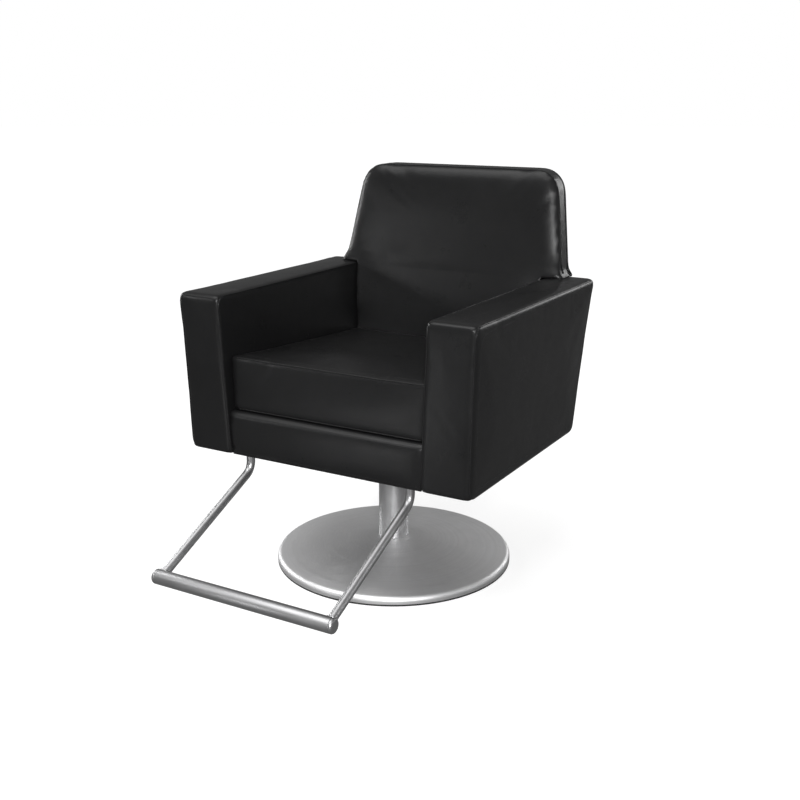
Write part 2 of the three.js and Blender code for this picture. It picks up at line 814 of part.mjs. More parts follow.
function buildArms() {
  const outline = roundedOutline([
    [armFront(underside), underside, armCorner],
    [backRear(underside), underside, armCorner],
    [backRear(armTop), armTop, armCorner],
    [armFront(armTop), armTop, armCorner],
  ]);
  const pocketOutline = (inset, foot) =>
    roundedOutline([
      [armFront(foot) + armSkin + inset, foot],
      [backRear(foot) - armSkin - inset, foot],
      [backRear(armTop) - armSkin - inset, armTop - armSkin - inset],
      [armFront(armTop) + armSkin + inset, armTop - armSkin - inset],
    ]);

  for (const [side, sign] of [
    ["left", 1],
    ["right", -1],
  ]) {
    // Modelled about X = 0 at its top thickness, then placed, thickened and splayed.
    const splay = (geometry) =>
      reshape(geometry, (x, y, z) => {
        const down = (armTop - z) / armHeight;
        const thickness = armThickness + armFootGrowth * down;
        const middle = innerHalf(z) + thickness / 2;
        return [sign * middle + (x * thickness) / armThickness, y, z];
      });
    const half = armThickness / 2;
    const skinHalf = half - armSkin;
    const frameFoot = underside + 2;
    const boltHeight = underside + armBoltRise;
    const bolts = armBoltPlaces.map((y) => {
      const ends = [insideHalf - 60, insideHalf + armSkin + armFrameWall - 4];
      const [near, far] = ends.map((value) => sign * value).sort((a, b) => a - b);
      return rod("x", armBoltRadius + gap, near, far, y, boltHeight);
    });

    const pocket = alongX(pocketOutline(0, underside - 5), -skinHalf, skinHalf);
    const pad = cut(splay(alongX(outline, -half, half, armEdge)), splay(pocket), ...bolts);
    add(`arm_pad_${side}`, pad, "vinyl");

    const frameHalf = skinHalf - gap;
    const cavityFoot = frameFoot + armFrameWall;
    const cavityTop = armTop - armSkin - armFrameWall;
    const cavityInset = armSkin + armFrameWall;
    const cavity = roundedOutline([
      [armFront(cavityFoot) + cavityInset, cavityFoot],
      [backRear(cavityFoot) - cavityInset, cavityFoot],
      [backRear(cavityTop) - cavityInset, cavityTop],
      [armFront(cavityTop) + cavityInset, cavityTop],
    ]);
    const [from, to] = sign > 0 ? [armFrameWall - frameHalf, half] : [-half, frameHalf - armFrameWall];
    const frame = cut(
      splay(alongX(pocketOutline(gap, frameFoot), -frameHalf, frameHalf)),
      splay(alongX(cavity, from, to)),
      ...bolts,
    );
    add(`arm_frame_${side}`, frame, "plywood");

    const headX = (insideHalf - fit - railThickness) * (innerHalf(boltHeight) / insideHalf) - 1;
    const reach = innerHalf(boltHeight) + armSkin + armFrameWall - 1 - headX;
    armBoltPlaces.forEach((y, index) => {
      const bolt = hexBolt(armBoltRadius, reach).rotateY((sign * Math.PI) / 2);
      const name = `arm_bolt_${side}_${index === 0 ? "front" : "rear"}`;
      add(name, bolt.translate(sign * headX, y, boltHeight), "zincSteel");
    });
  }
}

function buildBackrest() {
  const topHeight = armTop + backTop;
  const halfTop = insideHalf + backHalfTopExtra;
  const halfFoot = insideHalf + backHalfFootExtra;
  const ledge = armTop + fit;
  const half = (z) => halfFoot + ((halfTop - halfFoot) * (z - ledge)) / (topHeight - ledge);
  const outline = (foot) => {
    const low = innerHalf(foot) - fit;
    const neck = insideHalf - fit;
    const side = [
      [low, foot, 0],
      [neck, ledge, 0],
      [halfFoot, ledge, 14],
      [halfTop, topHeight, backCorner],
    ];
    const mirrored = side.map(([x, z, radius]) => [-x, z, radius]).reverse();
    return roundedOutline([...side, ...mirrored]);
  };
  const boardOutline = (inset, foot) => {
    const boardTopZ = topHeight - backMargin - inset;
    const low = innerHalf(foot) - fit - backMargin - inset;
    const high = half(boardTopZ) - backMargin - inset;
    const corner = backCorner - backMargin;
    return roundedOutline([
      [low, foot, 0],
      [high, boardTopZ, corner],
      [-high, boardTopZ, corner],
      [-low, foot, 0],
    ]);
  };
  const thickness = backRear(armTop) - backFront(armTop);
  const share = (shape, from, to, edge = 0) => {
    const slab = alongY(shape, from * thickness, to * thickness, edge, 5, 2);
    return inBackrest(slab.scale(1, 1 / thickness, 1));
  };

  const padFoot = boardTop + 3;
  const boltHeight = underside + backBoltRise;
  const pad = cut(
    share(outline(padFoot), 0, rearPanelShare - 0.01, backEdge),
    share(boardOutline(-gap, padFoot - 10), boardShare[0] - 0.006, 1),
  );
  add("back_pad", pad, "vinyl");

  const headY = backFront(boltHeight) + boardShare[1] * (backRear(boltHeight) - backFront(boltHeight)) + 2;
  const boltPlaces = [-1, 1].map((sign) => (sign * backBoltSpacing) / 2);
  const boardHoles = boltPlaces.map((x) =>
    rod("y", backBoltRadius + gap, backFront(boltHeight), headY + 20, x, boltHeight, 12),
  );
  const recesses = boltPlaces.map((x) =>
    rod("y", backBoltRadius * 2 + 1, headY - 4, headY + 20, x, boltHeight, 16),
  );
  const board = share(boardOutline(gap, railFoot), boardShare[0], boardShare[1]);
  add("back_board", cut(board, ...boardHoles, ...recesses), "plywood");

  const panelHoles = boltPlaces.map((x) =>
    rod("y", backBoltRadius * 2 + 1, headY - 6, headY + 3, x, boltHeight, 16),
  );
  const panel = share(outline(underside + 1), rearPanelShare, 1, 0);
  add("back_rear_panel", cut(panel, ...panelHoles), "vinyl");

  boltPlaces.forEach((x, index) => {
    const bearing = headY - 4 - gap;
    const reach = bearing - backFront(boltHeight) - 8;
    const bolt = hexBolt(backBoltRadius, reach).rotateX(Math.PI / 2);
    bolt.translate(x, bearing + 2 * gap, boltHeight);
    add(`back_bolt_${index === 0 ? "right" : "left"}`, bolt, "zincSteel");
  });
}

// ---------------------------------------------------------------- footrest

function buildFootrest() {
  const tubeX = insideHalf - footTubeInset;
  const tubeY = apronFront + footTubeBack;
  const tubeTop = underside + footTubeSocket;
  const bendHeight = underside - footBendDrop;
  const barY = armFront(armTop) - footBarReach;
  const barHeight = underside - footBarDrop;
  const barHalf = tubeX + footBarOverhang;
  const slope = new THREE.Vector2(barY - tubeY, barHeight - bendHeight).normalize();
  const turn = Math.acos(-slope.y); // from straight down to along the slope
  const tangent = footBendRadius * Math.tan(turn / 2);
  const bendSteps = 5;

  for (const [side, sign] of [
    ["left", 1],
    ["right", -1],
  ]) {
    const x = sign * tubeX;
    const points = [new THREE.Vector3(x, tubeY, tubeTop)];
    for (let step = 0; step <= bendSteps; step += 1) {
      const angle = (turn * step) / bendSteps;
      const y = tubeY - footBendRadius * (1 - Math.cos(angle));
      const z = bendHeight + tangent - footBendRadius * Math.sin(angle);
      points.push(new THREE.Vector3(x, y, z));
    }
    points.push(new THREE.Vector3(x, barY, barHeight));
    const footBoltHeight = tubeTop - 15;
    const tube = cut(
      swept(points, footTubeRadius, footTubeWall, 8),
      rod("x", footBarRadius + gap, x - 30, x + 30, barY, barHeight, 32),
      rod("y", footBoltRadius + gap, tubeY, tubeY + 20, x, footBoltHeight, 12),
    );
    add(`footrest_tube_${side}`, tube, "satinSteel");

    const shank = frontRailRear - tubeY - 1;
    const bolt = hexBolt(footBoltRadius, shank).rotateX(Math.PI / 2);
    bolt.translate(x, frontRailRear + gap, footBoltHeight);
    add(`footrest_bolt_${side}`, bolt, "zincSteel");

    const cap = turned(
      [
        [0, -footCapPlug],
        [footBarRadius - footBarWall - gap, -footCapPlug],
        [footBarRadius - footBarWall - gap, gap],
        [footBarRadius, gap],
        [footBarRadius, footCapLength * 0.35],
        [footBarRadius * 0.86, footCapLength * 0.8],
        [footBarRadius * 0.55, footCapLength],
        [0, footCapLength],
      ],
      24,
    );
    cap.rotateY((sign * Math.PI) / 2).translate(sign * barHalf, barY, barHeight);
    add(`foot_bar_cap_${side}`, cap, "satinSteel");
  }

  const tube = ring(footBarRadius - footBarWall, footBarRadius, -barHalf, barHalf, 24);
  add("foot_bar", tube.rotateY(Math.PI / 2).translate(0, barY, barHeight), "satinSteel");
}

buildBase();
buildPump();
buildRam();
buildLever();
buildSwivel();
buildFrame();
buildCushionAndApron();
buildArms();
buildBackrest();
buildFootrest();

export default chair;
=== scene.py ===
"""Hydraulic styling chair: upholstery, metalwork and a plain studio.

Laid out as an add-on and run as a script. Everything is in metres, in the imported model's own
frame: Z up, the chair faces -Y, left is +X.
"""

import json
import math

import bmesh
import bpy
import numpy
from mathutils import Matrix, Vector
from mathutils.bvhtree import BVHTree


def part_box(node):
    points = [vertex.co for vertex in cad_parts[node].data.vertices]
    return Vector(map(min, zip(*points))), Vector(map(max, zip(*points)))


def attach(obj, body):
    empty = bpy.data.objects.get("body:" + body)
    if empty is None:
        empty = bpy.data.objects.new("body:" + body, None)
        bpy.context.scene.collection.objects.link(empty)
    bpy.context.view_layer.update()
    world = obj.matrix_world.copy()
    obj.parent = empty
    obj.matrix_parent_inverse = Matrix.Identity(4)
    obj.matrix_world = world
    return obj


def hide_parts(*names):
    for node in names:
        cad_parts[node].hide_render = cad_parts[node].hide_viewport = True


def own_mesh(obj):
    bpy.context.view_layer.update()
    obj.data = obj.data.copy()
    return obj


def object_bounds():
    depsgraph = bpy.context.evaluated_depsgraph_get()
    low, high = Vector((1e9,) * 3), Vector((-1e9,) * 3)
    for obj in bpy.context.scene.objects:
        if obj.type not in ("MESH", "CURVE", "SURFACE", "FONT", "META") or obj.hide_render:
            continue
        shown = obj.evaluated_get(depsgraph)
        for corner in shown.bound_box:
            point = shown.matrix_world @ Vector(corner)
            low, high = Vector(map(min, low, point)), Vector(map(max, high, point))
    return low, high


bl_info = {
    "name": "Styling Chair",
    "version": (1, 0, 0),
    "blender": (4, 5, 0),
    "location": "3D View > Sidebar > Styling Chair",
    "description": "Builds the upholstery, metalwork and studio of a hydraulic styling chair",
    "category": "Add Mesh",
}

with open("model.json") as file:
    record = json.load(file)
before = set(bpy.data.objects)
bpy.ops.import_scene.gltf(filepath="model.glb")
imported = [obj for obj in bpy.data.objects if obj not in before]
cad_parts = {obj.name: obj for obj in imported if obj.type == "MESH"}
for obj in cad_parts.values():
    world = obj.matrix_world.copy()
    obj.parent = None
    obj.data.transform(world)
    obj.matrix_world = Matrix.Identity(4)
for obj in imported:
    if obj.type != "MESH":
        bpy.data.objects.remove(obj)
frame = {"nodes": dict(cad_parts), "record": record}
CAD_LOW, CAD_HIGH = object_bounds()

ARM_LOW, ARM_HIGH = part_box("arm_pad_left")
FOOT = ARM_LOW.z  # undersides of the arms and the apron
ARM_TOP = ARM_HIGH.z
BASE_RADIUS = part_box("base_cover")[1].x
COLUMN_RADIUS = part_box("column_sleeve")[1].x
SIDES = (("left", 1), ("right", -1))
LEDGE = ARM_TOP + 0.0012  # where the backrest's flare sits over the arms
SEAT_ZONE = 0.5  # below this height the arms and the backrest meet the cushion
PAD_GAP = 0.0008  # kept between a pad and its neighbours
SMOOTH = math.pi  # no edge turns this far, so a whole piece shades smooth
VOXEL = 0.0055  # face size of the padded forms
CLOTH_FRAMES = 20


# ---------------------------------------------------------------- settings


def length(name, description, default):
    """A size in metres that can be changed in the sidebar."""
    return bpy.props.FloatProperty(
        name=name, description=description, default=default, min=0.0, unit="LENGTH", precision=4
    )


def factor(name, description, default, most=1.0):
    """A plain number from nothing to `most`."""
    return bpy.props.FloatProperty(
        name=name, description=description, default=default, min=0.0, max=most, subtype="FACTOR"
    )


def tint(name, description, default):
    """A colour."""
    return bpy.props.FloatVectorProperty(
        name=name, description=description, default=default, size=3, min=0.0, max=1.0, subtype="COLOR"
    )


class ArmSizes(bpy.types.PropertyGroup):
    """Box arms."""

    thickness: length("Thickness", "Arm thickness at the top", 0.106)
    foot_growth: length("Foot growth", "How much thicker the arm is at its foot", 0.003)
    front_lean: length("Front lean", "How far the top overhangs the foot in front", 0.0066)
    rear_lean: length("Rear lean", "How far the top overhangs the foot at the rear", 0.0691)
    edge: length("Edge radius", "Rounding of the arm's edges", 0.011)
    foot_edge: length("Foot edge", "Rounding of the edges at the foot", 0.005)
    spread: length("Spread", "Extra size that the cloth's tension takes back", 0.0024)
    swell: length("Swell", "How far the padding stands out in the middle of a face", 0.005)


class CushionSizes(bpy.types.PropertyGroup):
    """Seat cushion and the padded apron under it."""

    rear_drop: length("Rear drop", "How much lower the seat is at the rear", 0.031)
    front_lean: length("Front lean", "How far the front leans back at the top", 0.003)
    clearance: length("Clearance", "Gap to the arms and the backrest", 0.0014)
    edge: length("Edge radius", "Rounding of the cushion's top edges", 0.013)
    side_edge: length("Side edge", "Rounding of the cushion's upright edges", 0.006)
    swell: length("Swell", "Crown of the cushion", 0.011)
    apron_skin: length("Apron skin", "Thickness of the apron in front of the rail", 0.0066)
    apron_lip: length("Apron lip", "Height of the apron's padded lip", 0.015)
    apron_edge: length("Apron edge", "Rounding of the apron's top edge", 0.012)
    apron_swell: length("Apron swell", "Crown of the apron's front", 0.0055)
    apron_fall: length("Apron fall", "How wide the crown's fall is at the apron's ends", 0.045)


class BackSizes(bpy.types.PropertyGroup):
    """Leaning backrest."""

    front_foot: length("Front foot", "Front face behind the axis, at the arms' undersides", 0.193)
    rear_foot: length("Rear foot", "Rear face behind the axis, at the arms' undersides", 0.243)
    front_slope: factor("Front slope", "Lean of the front face, as rise over height", 0.172)
    rear_slope: factor("Rear slope", "Lean of the rear face, as rise over height", 0.197)
    half_foot: length("Half width, foot", "Half width just above the arms", 0.293)
    half_top: length("Half width, top", "Half width at the top", 0.256)
    corner: length("Corner radius", "Rounding of the top corners", 0.060)
    band: length("Soft band", "Width of the soft edge of the front face", 0.040)
    band_depth: length("Band depth", "How far the soft edge falls back", 0.012)
    flare: length("Flare", "How far the sides spread onto the arms", 0.015)
    wrap: length("Wrap", "How far the front face comes forward beside the arms", 0.013)
    panel_share: factor("Panel share", "Where the rear panel starts in the thickness", 0.86)
    panel_edge: length("Panel edge", "Rounding of the rear panel's rim", 0.005)
    taper: factor("Taper", "How much narrower the back is at the rear", 0.014)
    spread: length("Spread", "Extra size that the cloth's tension takes back", 0.0022)
    swell: length("Swell", "Crown of the front face", 0.006)


class BaseSizes(bpy.types.PropertyGroup):
    """Round base, column and pump."""

    rim_height: length("Rim height", "Height of the base's rounded rim", 0.020)
    rim_round: length("Rim rounding", "Radius of the rounded rim", 0.012)
    wall: length("Cover wall", "Thickness of the pressed cover", 0.002)
    trim_width: length("Trim width", "Width of the rubber floor ring", 0.013)
    sleeve_wall: length("Sleeve wall", "Wall of the column's sleeve", 0.0025)
    spring_wire: length("Spring wire", "Wire radius of the plunger's spring", 0.0008)
    spring_turns: bpy.props.FloatProperty(
        name="Spring turns", description="Turns of the plunger's spring", default=4.5, min=1.0
    )
    lever_turn: bpy.props.FloatProperty(
        name="Lever turn",
        description="Turn of the lever's direction from straight back, about the column",
        default=math.radians(30.4),
        subtype="ANGLE",
    )


class FootrestSizes(bpy.types.PropertyGroup):
    """Bent tubes and the bar across them."""

    bend_drop: length("Bend drop", "Bend below the seat's underside", 0.034)
    bend_radius: length("Bend radius", "Radius of the tubes' bend", 0.032)
    cap: length("Cap length", "Length of the bar's end caps", 0.008)
    wall: length("Wall", "Wall of the bar", 0.002)


class SeamSizes(bpy.types.PropertyGroup):
    """Seams of the upholstery."""

    welt: length("Welt radius", "Radius of the seam's cord", 0.0015)
    inset: length("Stitch inset", "From a seam to its row of stitches", 0.008)
    pitch: length("Stitch pitch", "From one stitch to the next", 0.0062)
    stitch: length("Stitch length", "Length of one stitch", 0.0040)
    thread: length("Thread radius", "Radius of the thread", 0.00042)


class Looks(bpy.types.PropertyGroup):
    """Colours and gloss."""

    vinyl: tint("Vinyl", "Colour of the upholstery", (0.0100, 0.0100, 0.0104))
    vinyl_roughness: factor("Vinyl roughness", "Roughness of the upholstery", 0.31)
    grain: length("Grain", "Size of the vinyl's grain", 0.0016)
    spun: tint("Spun steel", "Colour of the base", (0.90, 0.90, 0.905))
    spun_roughness: factor("Base roughness", "Roughness of the base", 0.52)
    steel: tint("Satin steel", "Colour of the column and footrest", (0.42, 0.42, 0.425))
    steel_roughness: factor("Steel roughness", "Roughness of the column and footrest", 0.42)
    floor: tint("Floor", "Colour of the studio floor", (0.42, 0.42, 0.42))


class StylingChair(bpy.types.PropertyGroup):
    """All of the chair's settings."""

    arm: bpy.props.PointerProperty(type=ArmSizes, name="Arms", description="Sizes of the arms")
    cushion: bpy.props.PointerProperty(type=CushionSizes, name="Cushion", description="Sizes of the seat")
    back: bpy.props.PointerProperty(type=BackSizes, name="Back", description="Sizes of the backrest")
    base: bpy.props.PointerProperty(type=BaseSizes, name="Base", description="Sizes of the base")
    footrest: bpy.props.PointerProperty(type=FootrestSizes, name="Footrest", description="Footrest sizes")
    seam: bpy.props.PointerProperty(type=SeamSizes, name="Seams", description="Sizes of the seams")
    looks: bpy.props.PointerProperty(type=Looks, name="Looks", description="Colours and gloss")


def settings():
    """The chair's settings in the current scene."""
    return bpy.context.scene.styling_chair


# ---------------------------------------------------------------- shape helpers


def rounded(corners, steps=8):
    """A closed outline from (x, y, radius) corners, each replaced by an arc."""
    outline = []
    for index, (x, y, radius) in enumerate(corners):
        corner = Vector((x, y))
        if radius <= 0:
            outline.append(corner)
            continue
        before = (Vector(corners[index - 1][:2]) - corner).normalized()
        after = (Vector(corners[(index + 1) % len(corners)][:2]) - corner).normalized()
        half = before.angle(after) / 2
        middle = corner + (before + after).normalized() * radius / math.sin(half)
        start = corner + before * radius / math.tan(half) - middle
        end = corner + after * radius / math.tan(half) - middle
        sweep = math.atan2(start.x * end.y - start.y * end.x, start.dot(end))
        for step in range(steps + 1):
            outline.append(middle + Matrix.Rotation(sweep * step / steps, 2) @ start)
    return outline


def resampled(points, step, closed=True):
    """Points at even distances along a path."""
    path = [Vector(point) for point in points]
    if closed:
        path.append(path[0])
    reach = [0.0]
    for before, after in zip(path, path[1:]):
        reach.append(reach[-1] + (after - before).length)
    count = max(2, round(reach[-1] / step))
    places = [reach[-1] * index / count for index in range(count if closed else count + 1)]
    result = []
    index = 0
    for place in places:
        while index < len(path) - 2 and reach[index + 1] < place:
            index += 1
        share = (place - reach[index]) / max(reach[index + 1] - reach[index], 1e-9)
        result.append(path[index].lerp(path[index + 1], share))
    return result


def linked(name, data):
    """A new object in the scene."""
    item = bpy.data.objects.new(name, data)
    bpy.context.scene.collection.objects.link(item)
    return item


def mesh_from(form, name):
    """Turns a bmesh into a mesh."""
    mesh = bpy.data.meshes.new(name)
    form.to_mesh(mesh)
    form.free()
    return mesh


def form_from(mesh):
    """Turns a mesh into a bmesh."""
    form = bmesh.new()
    form.from_mesh(mesh)
    bpy.data.meshes.remove(mesh)
    return form


def joined(form, part):
    """Adds one bmesh to another."""
    mesh = mesh_from(part, "part")
    form.from_mesh(mesh)
    bpy.data.meshes.remove(mesh)


def outward(form):
    """Turns every face of a bmesh outwards."""
    bmesh.ops.recalc_face_normals(form, faces=form.faces)
    return form


def reshaped(form, rule):
    """Moves each point of a bmesh to where a rule puts its (x, y, z)."""
    for vertex in form.verts:
        vertex.co = rule(*vertex.co)
    return outward(form)


def moved(form, shift, angle=0.0, axis="X"):
    """Turns a bmesh about an axis through the middle, then shifts it."""
    if angle:
        turn = Matrix.Rotation(angle, 3, axis)
        bmesh.ops.rotate(form, verts=form.verts, cent=(0, 0, 0), matrix=turn)
    bmesh.ops.translate(form, verts=form.verts, vec=shift)
    return form


def block(rule):
    """A six-sided bmesh. The rule places each corner from (x, y, z) of plus or minus one."""
    form = bmesh.new()
    bmesh.ops.create_cube(form, size=2.0)
    return reshaped(form, rule)


def rod(sides, radius, depth):
    """A prism along Z, centred on the origin."""
    form = bmesh.new()
    bmesh.ops.create_cone(
        form, cap_ends=True, segments=sides, radius1=radius, radius2=radius, depth=depth
    )
    return form


def thickened(points, shift):
    """A bmesh slab: an outline of points, extruded by `shift`."""
    form = bmesh.new()
    face = form.faces.new([form.verts.new(point) for point in points])
    grown = bmesh.ops.extrude_face_region(form, geom=[face])["geom"]
    raised = [item for item in grown if isinstance(item, bmesh.types.BMVert)]
    bmesh.ops.translate(form, verts=raised, vec=shift)
    return outward(form)


def plate(outline, depth):
    """A bmesh slab: an outline in X and Z, extruded along Y by `depth`."""
    return thickened([(x, 0.0, z) for x, z in outline], (0.0, depth, 0.0))


def rectangle(low, high, radii, steps):
    """A rectangle's outline between two corners. The radii start at the low corner."""
    (x0, y0), (x1, y1) = low, high
    corners = ((x0, y0), (x1, y0), (x1, y1), (x0, y1))
    return rounded([(*corner, radius) for corner, radius in zip(corners, radii)], steps)


def centre(node):
    """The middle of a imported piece's box."""
    return tuple((low + high) / 2 for low, high in zip(*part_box(node)))


def spun(profile, steps=96, closed=True):
    """A bmesh turned about Z from a profile of (radius, height) points."""
    form = bmesh.new()
    verts = [form.verts.new((radius, 0.0, height)) for radius, height in profile]
    pairs = list(zip(verts, verts[1:]))
    if closed:
        pairs.append((verts[-1], verts[0]))
    edges = [form.edges.new(pair) for pair in pairs]
    bmesh.ops.spin(
        form,
        geom=verts + edges,
        cent=(0, 0, 0),
        axis=(0, 0, 1),
        dvec=(0, 0, 0),
        angle=math.tau,
        steps=steps,
        use_merge=True,
        use_duplicate=False,
    )
    bmesh.ops.remove_doubles(form, verts=form.verts, dist=1e-6)
    return outward(form)


def soften_edges(form, edges, offset, segments):
    """Rounds the given edges of a bmesh."""
    bmesh.ops.bevel(
        form,
        geom=edges,
        offset=offset,
        offset_type="OFFSET",
        segments=segments,
        profile=0.5,
        affect="EDGES",
        material=-1,
        clamp_overlap=True,
    )
    return form


def bevelled(form, offset, segments=2, least=math.radians(30)):
    """Rounds every edge of a bmesh that turns by more than `least`."""
    edges = [edge for edge in form.edges if edge.is_manifold and edge.calc_face_angle(0.0) > least]
    return soften_edges(form, edges, offset, segments)


def sliced(form, axis, places):
    """Cuts every face of a bmesh along planes across one axis."""
    normal = [0.0, 0.0, 0.0]
    normal[axis] = 1.0
    for place in places:
        point = [0.0, 0.0, 0.0]
        point[axis] = place
        geom = form.verts[:] + form.edges[:] + form.faces[:]
        bmesh.ops.bisect_plane(form, geom=geom, dist=1e-6, plane_co=point, plane_no=normal)
    return form


def steps_between(low, high, step):
    """Evenly spaced places strictly between two values."""
    count = max(1, round((high - low) / step))
    return [low + (high - low) * index / count for index in range(1, count)]


def finished(name, form, finish, body, sharp=math.radians(35)):
    """Makes a bmesh a smooth-shaded piece that rides on a body."""
    return piece_of(name, mesh_from(form, name), finish, body, sharp)


def piece_of(name, mesh, finish, body, sharp=math.radians(35)):
    """Makes a mesh a smooth-shaded piece that rides on a body."""
    mesh.name = name
    mesh.shade_smooth()
    mesh.set_sharp_from_angle(angle=sharp)
    mesh.materials.clear()
    mesh.materials.append(FINISHES[finish]())
    piece = linked(name, mesh)
    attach(piece, body)
    return piece


def tube(path, radius, closed=False, sides=4):
    """A mesh tube along a path of points."""
    curve = bpy.data.curves.new("tube", "CURVE")
    curve.dimensions = "3D"
    curve.bevel_depth = radius
    curve.bevel_resolution = sides
    curve.use_fill_caps = not closed
    spline = curve.splines.new("POLY")
    spline.points.add(len(path) - 1)
    for point, place in zip(spline.points, path):
        point.co = (*place, 1.0)
    spline.use_cyclic_u = closed
    holder = bpy.data.objects.new("tube", curve)
    mesh = bpy.data.meshes.new_from_object(holder)
    bpy.data.objects.remove(holder)
    bpy.data.curves.remove(curve)
    form = form_from(mesh)
    bmesh.ops.remove_doubles(form, verts=form.verts, dist=1e-6)
    return outward(form)


def evaluated(item):
    """An object with its modifiers applied."""
    return item.evaluated_get(bpy.context.evaluated_depsgraph_get())


def surface(piece):
    """A search tree of a piece's finished surface."""
    return BVHTree.FromObject(piece, bpy.context.evaluated_depsgraph_get())


def arm_inner(height):
    """The arms' inner faces: distance from the middle at a height."""
    share = (height - FOOT) / (ARM_TOP - FOOT)
    return ARM_LOW.x + share * (ARM_HIGH.x - settings().arm.thickness - ARM_LOW.x)


def back_front(height):
    """The backrest's front face at a height."""
    return settings().back.front_foot + settings().back.front_slope * (height - FOOT)


def back_rear(height):
    """The backrest's rear face at a height."""
    return settings().back.rear_foot + settings().back.rear_slope * (height - FOOT)


def back_side(height):
    """The backrest's half width above the arms."""
    back = settings().back
    share = (height - ARM_TOP) / (CAD_HIGH.z - ARM_TOP)
    return back.half_foot + share * (back.half_top - back.half_foot)


# ---------------------------------------------------------------- padded forms


def even_mesh(form):
    """Remeshes a closed bmesh into even faces that lie on its own surface."""
    mesh = bpy.data.meshes.new("form")
    form.to_mesh(mesh)
    bmesh.ops.triangulate(form, faces=form.faces[:])
    tree = BVHTree.FromBMesh(form)
    form.free()
    holder = linked("form", mesh)
    remesh = holder.modifiers.new("even", "REMESH")
    remesh.mode = "VOXEL"
    remesh.voxel_size = VOXEL
    even = bpy.data.meshes.new_from_object(evaluated(holder))
    bpy.data.objects.remove(holder)
    bpy.data.meshes.remove(mesh)
    for vertex in even.vertices:
        vertex.co = tree.find_nearest(vertex.co)[0]
    return even


def points_of(mesh):
    """A mesh's points as an array."""
    points = numpy.empty(len(mesh.vertices) * 3)
    mesh.vertices.foreach_get("co", points)
    return points.reshape(-1, 3)


def swelling(mesh, pressure, most, held):
    """How far each point of a closed cloth moves when it is blown up, at most `most`."""
    rest = points_of(mesh)
    scene = bpy.context.scene
    holder = linked("cloth", mesh)
    pins = holder.vertex_groups.new(name="held")
    pins.add([int(index) for index in numpy.flatnonzero(held(rest))], 1.0, "REPLACE")
    cloth = holder.modifiers.new("cloth", "CLOTH").settings
    cloth.quality = 4
    cloth.mass = 0.3
    cloth.tension_stiffness = 12
    cloth.compression_stiffness = 12
    cloth.shear_stiffness = 8
    cloth.bending_stiffness = 3
    cloth.vertex_group_mass = pins.name
    cloth.use_pressure = True
    cloth.uniform_pressure_force = pressure
    cloth.effector_weights.gravity = 0
    for number in range(1, CLOTH_FRAMES + 1):
        scene.frame_set(number)
    moves = points_of(evaluated(holder).data) - rest
    bpy.data.objects.remove(holder)
    scene.frame_set(1)
    longest = numpy.linalg.norm(moves, axis=1).max()
    return moves * min(1.0, most / max(longest, 1e-9))


def padded_piece(name, mesh, moves, limit):
    """A vinyl-covered pad from an even mesh and its swelling. `limit` keeps it off its neighbours."""
    shaped = limit(points_of(mesh) + moves)
    mesh.vertices.foreach_set("co", shaped.ravel())
    form = form_from(mesh)
    axes = {"use_axis_x": True, "use_axis_y": True, "use_axis_z": True}
    for _ in range(2):
        bmesh.ops.smooth_vert(form, verts=form.verts, factor=0.5, **axes)
    piece = finished(name, outward(form), "black_vinyl", "seat", sharp=SMOOTH)
    subdivision = piece.modifiers.new("fine", "SUBSURF")
    subdivision.levels = 1
    subdivision.render_levels = 1
    return piece


# ---------------------------------------------------------------- seams


def laid(tree, path, lift=0.0):
    """A path moved onto a surface, and the surface's normals there."""
    places = []
    normals = []
    for point in path:
        place, normal, _, _ = tree.find_nearest(point)
        places.append(place + normal * lift)
        normals.append(normal)
    return places, normals


def welt(name, tree, path, closed=True, radius=None, passes=4):
    """A fine cord sewn into a seam, half sunk in the cover."""
    radius = radius or settings().seam.welt
    points = resampled(path, 0.006, closed)
    places, _ = laid(tree, points, radius * 0.25)
    for _ in range(passes):
        places = smoothed(places, closed)
    form = tube(places, radius, closed, sides=2)
    return finished(name, form, "seam_vinyl", "seat", sharp=SMOOTH)


def smoothed(path, closed):
    """A path with each point drawn halfway to its neighbours' middle."""
    result = []
    for index, point in enumerate(path):
        if not closed and index in (0, len(path) - 1):
            result.append(point)
            continue
        middle = (path[index - 1] + path[(index + 1) % len(path)]) / 2
        result.append(point.lerp(middle, 0.5))
    return result


def stitches(name, tree, path, closed=True):
    """A row of thread along a path on a cover."""
    seam = settings().seam
    form = bmesh.new()
    places, normals = laid(tree, resampled(path, seam.pitch, closed))
    for index in range(len(places) if closed else len(places) - 1):
        place = places[index]
        ahead = places[(index + 1) % len(places)] - place
        if ahead.length < 1e-6:
            continue
        along = ahead.normalized()
        across = normals[index].cross(along).normalized()
        up = along.cross(across)
        turn = Matrix((along, across, up)).transposed().to_4x4()
        size = Matrix.Diagonal((seam.stitch / 2, seam.thread, seam.thread, 1.0))
        matrix = Matrix.Translation(place + up * seam.thread * 0.3) @ turn @ size
        bmesh.ops.create_uvsphere(form, u_segments=6, v_segments=4, radius=1.0, matrix=matrix)
    return finished(name, form, "seam_thread", "seat", sharp=SMOOTH)


# ---------------------------------------------------------------- node helpers


def supply(tree, socket, value):
    """Links a socket to another, or sets its value."""
    if isinstance(value, bpy.types.NodeSocket):
        tree.links.new(value, socket)
    else:
        socket.default_value = value


def place(tree, kind, inputs=None, **choices):
    """Adds a node, sets its choices, and sets or links its inputs."""
    node = tree.nodes.new(kind)
    for key, value in choices.items():
        setattr(node, key, value)
    for key, value in (inputs or {}).items():
        supply(tree, node.inputs[key], value)
    return node


def maths(tree, operation, first, second=0.0, third=None):
    """One arithmetic step."""
    inputs = {0: first, 1: second}
    if third is not None:
        inputs[2] = third
    return place(tree, "ShaderNodeMath", inputs, operation=operation).outputs[0]


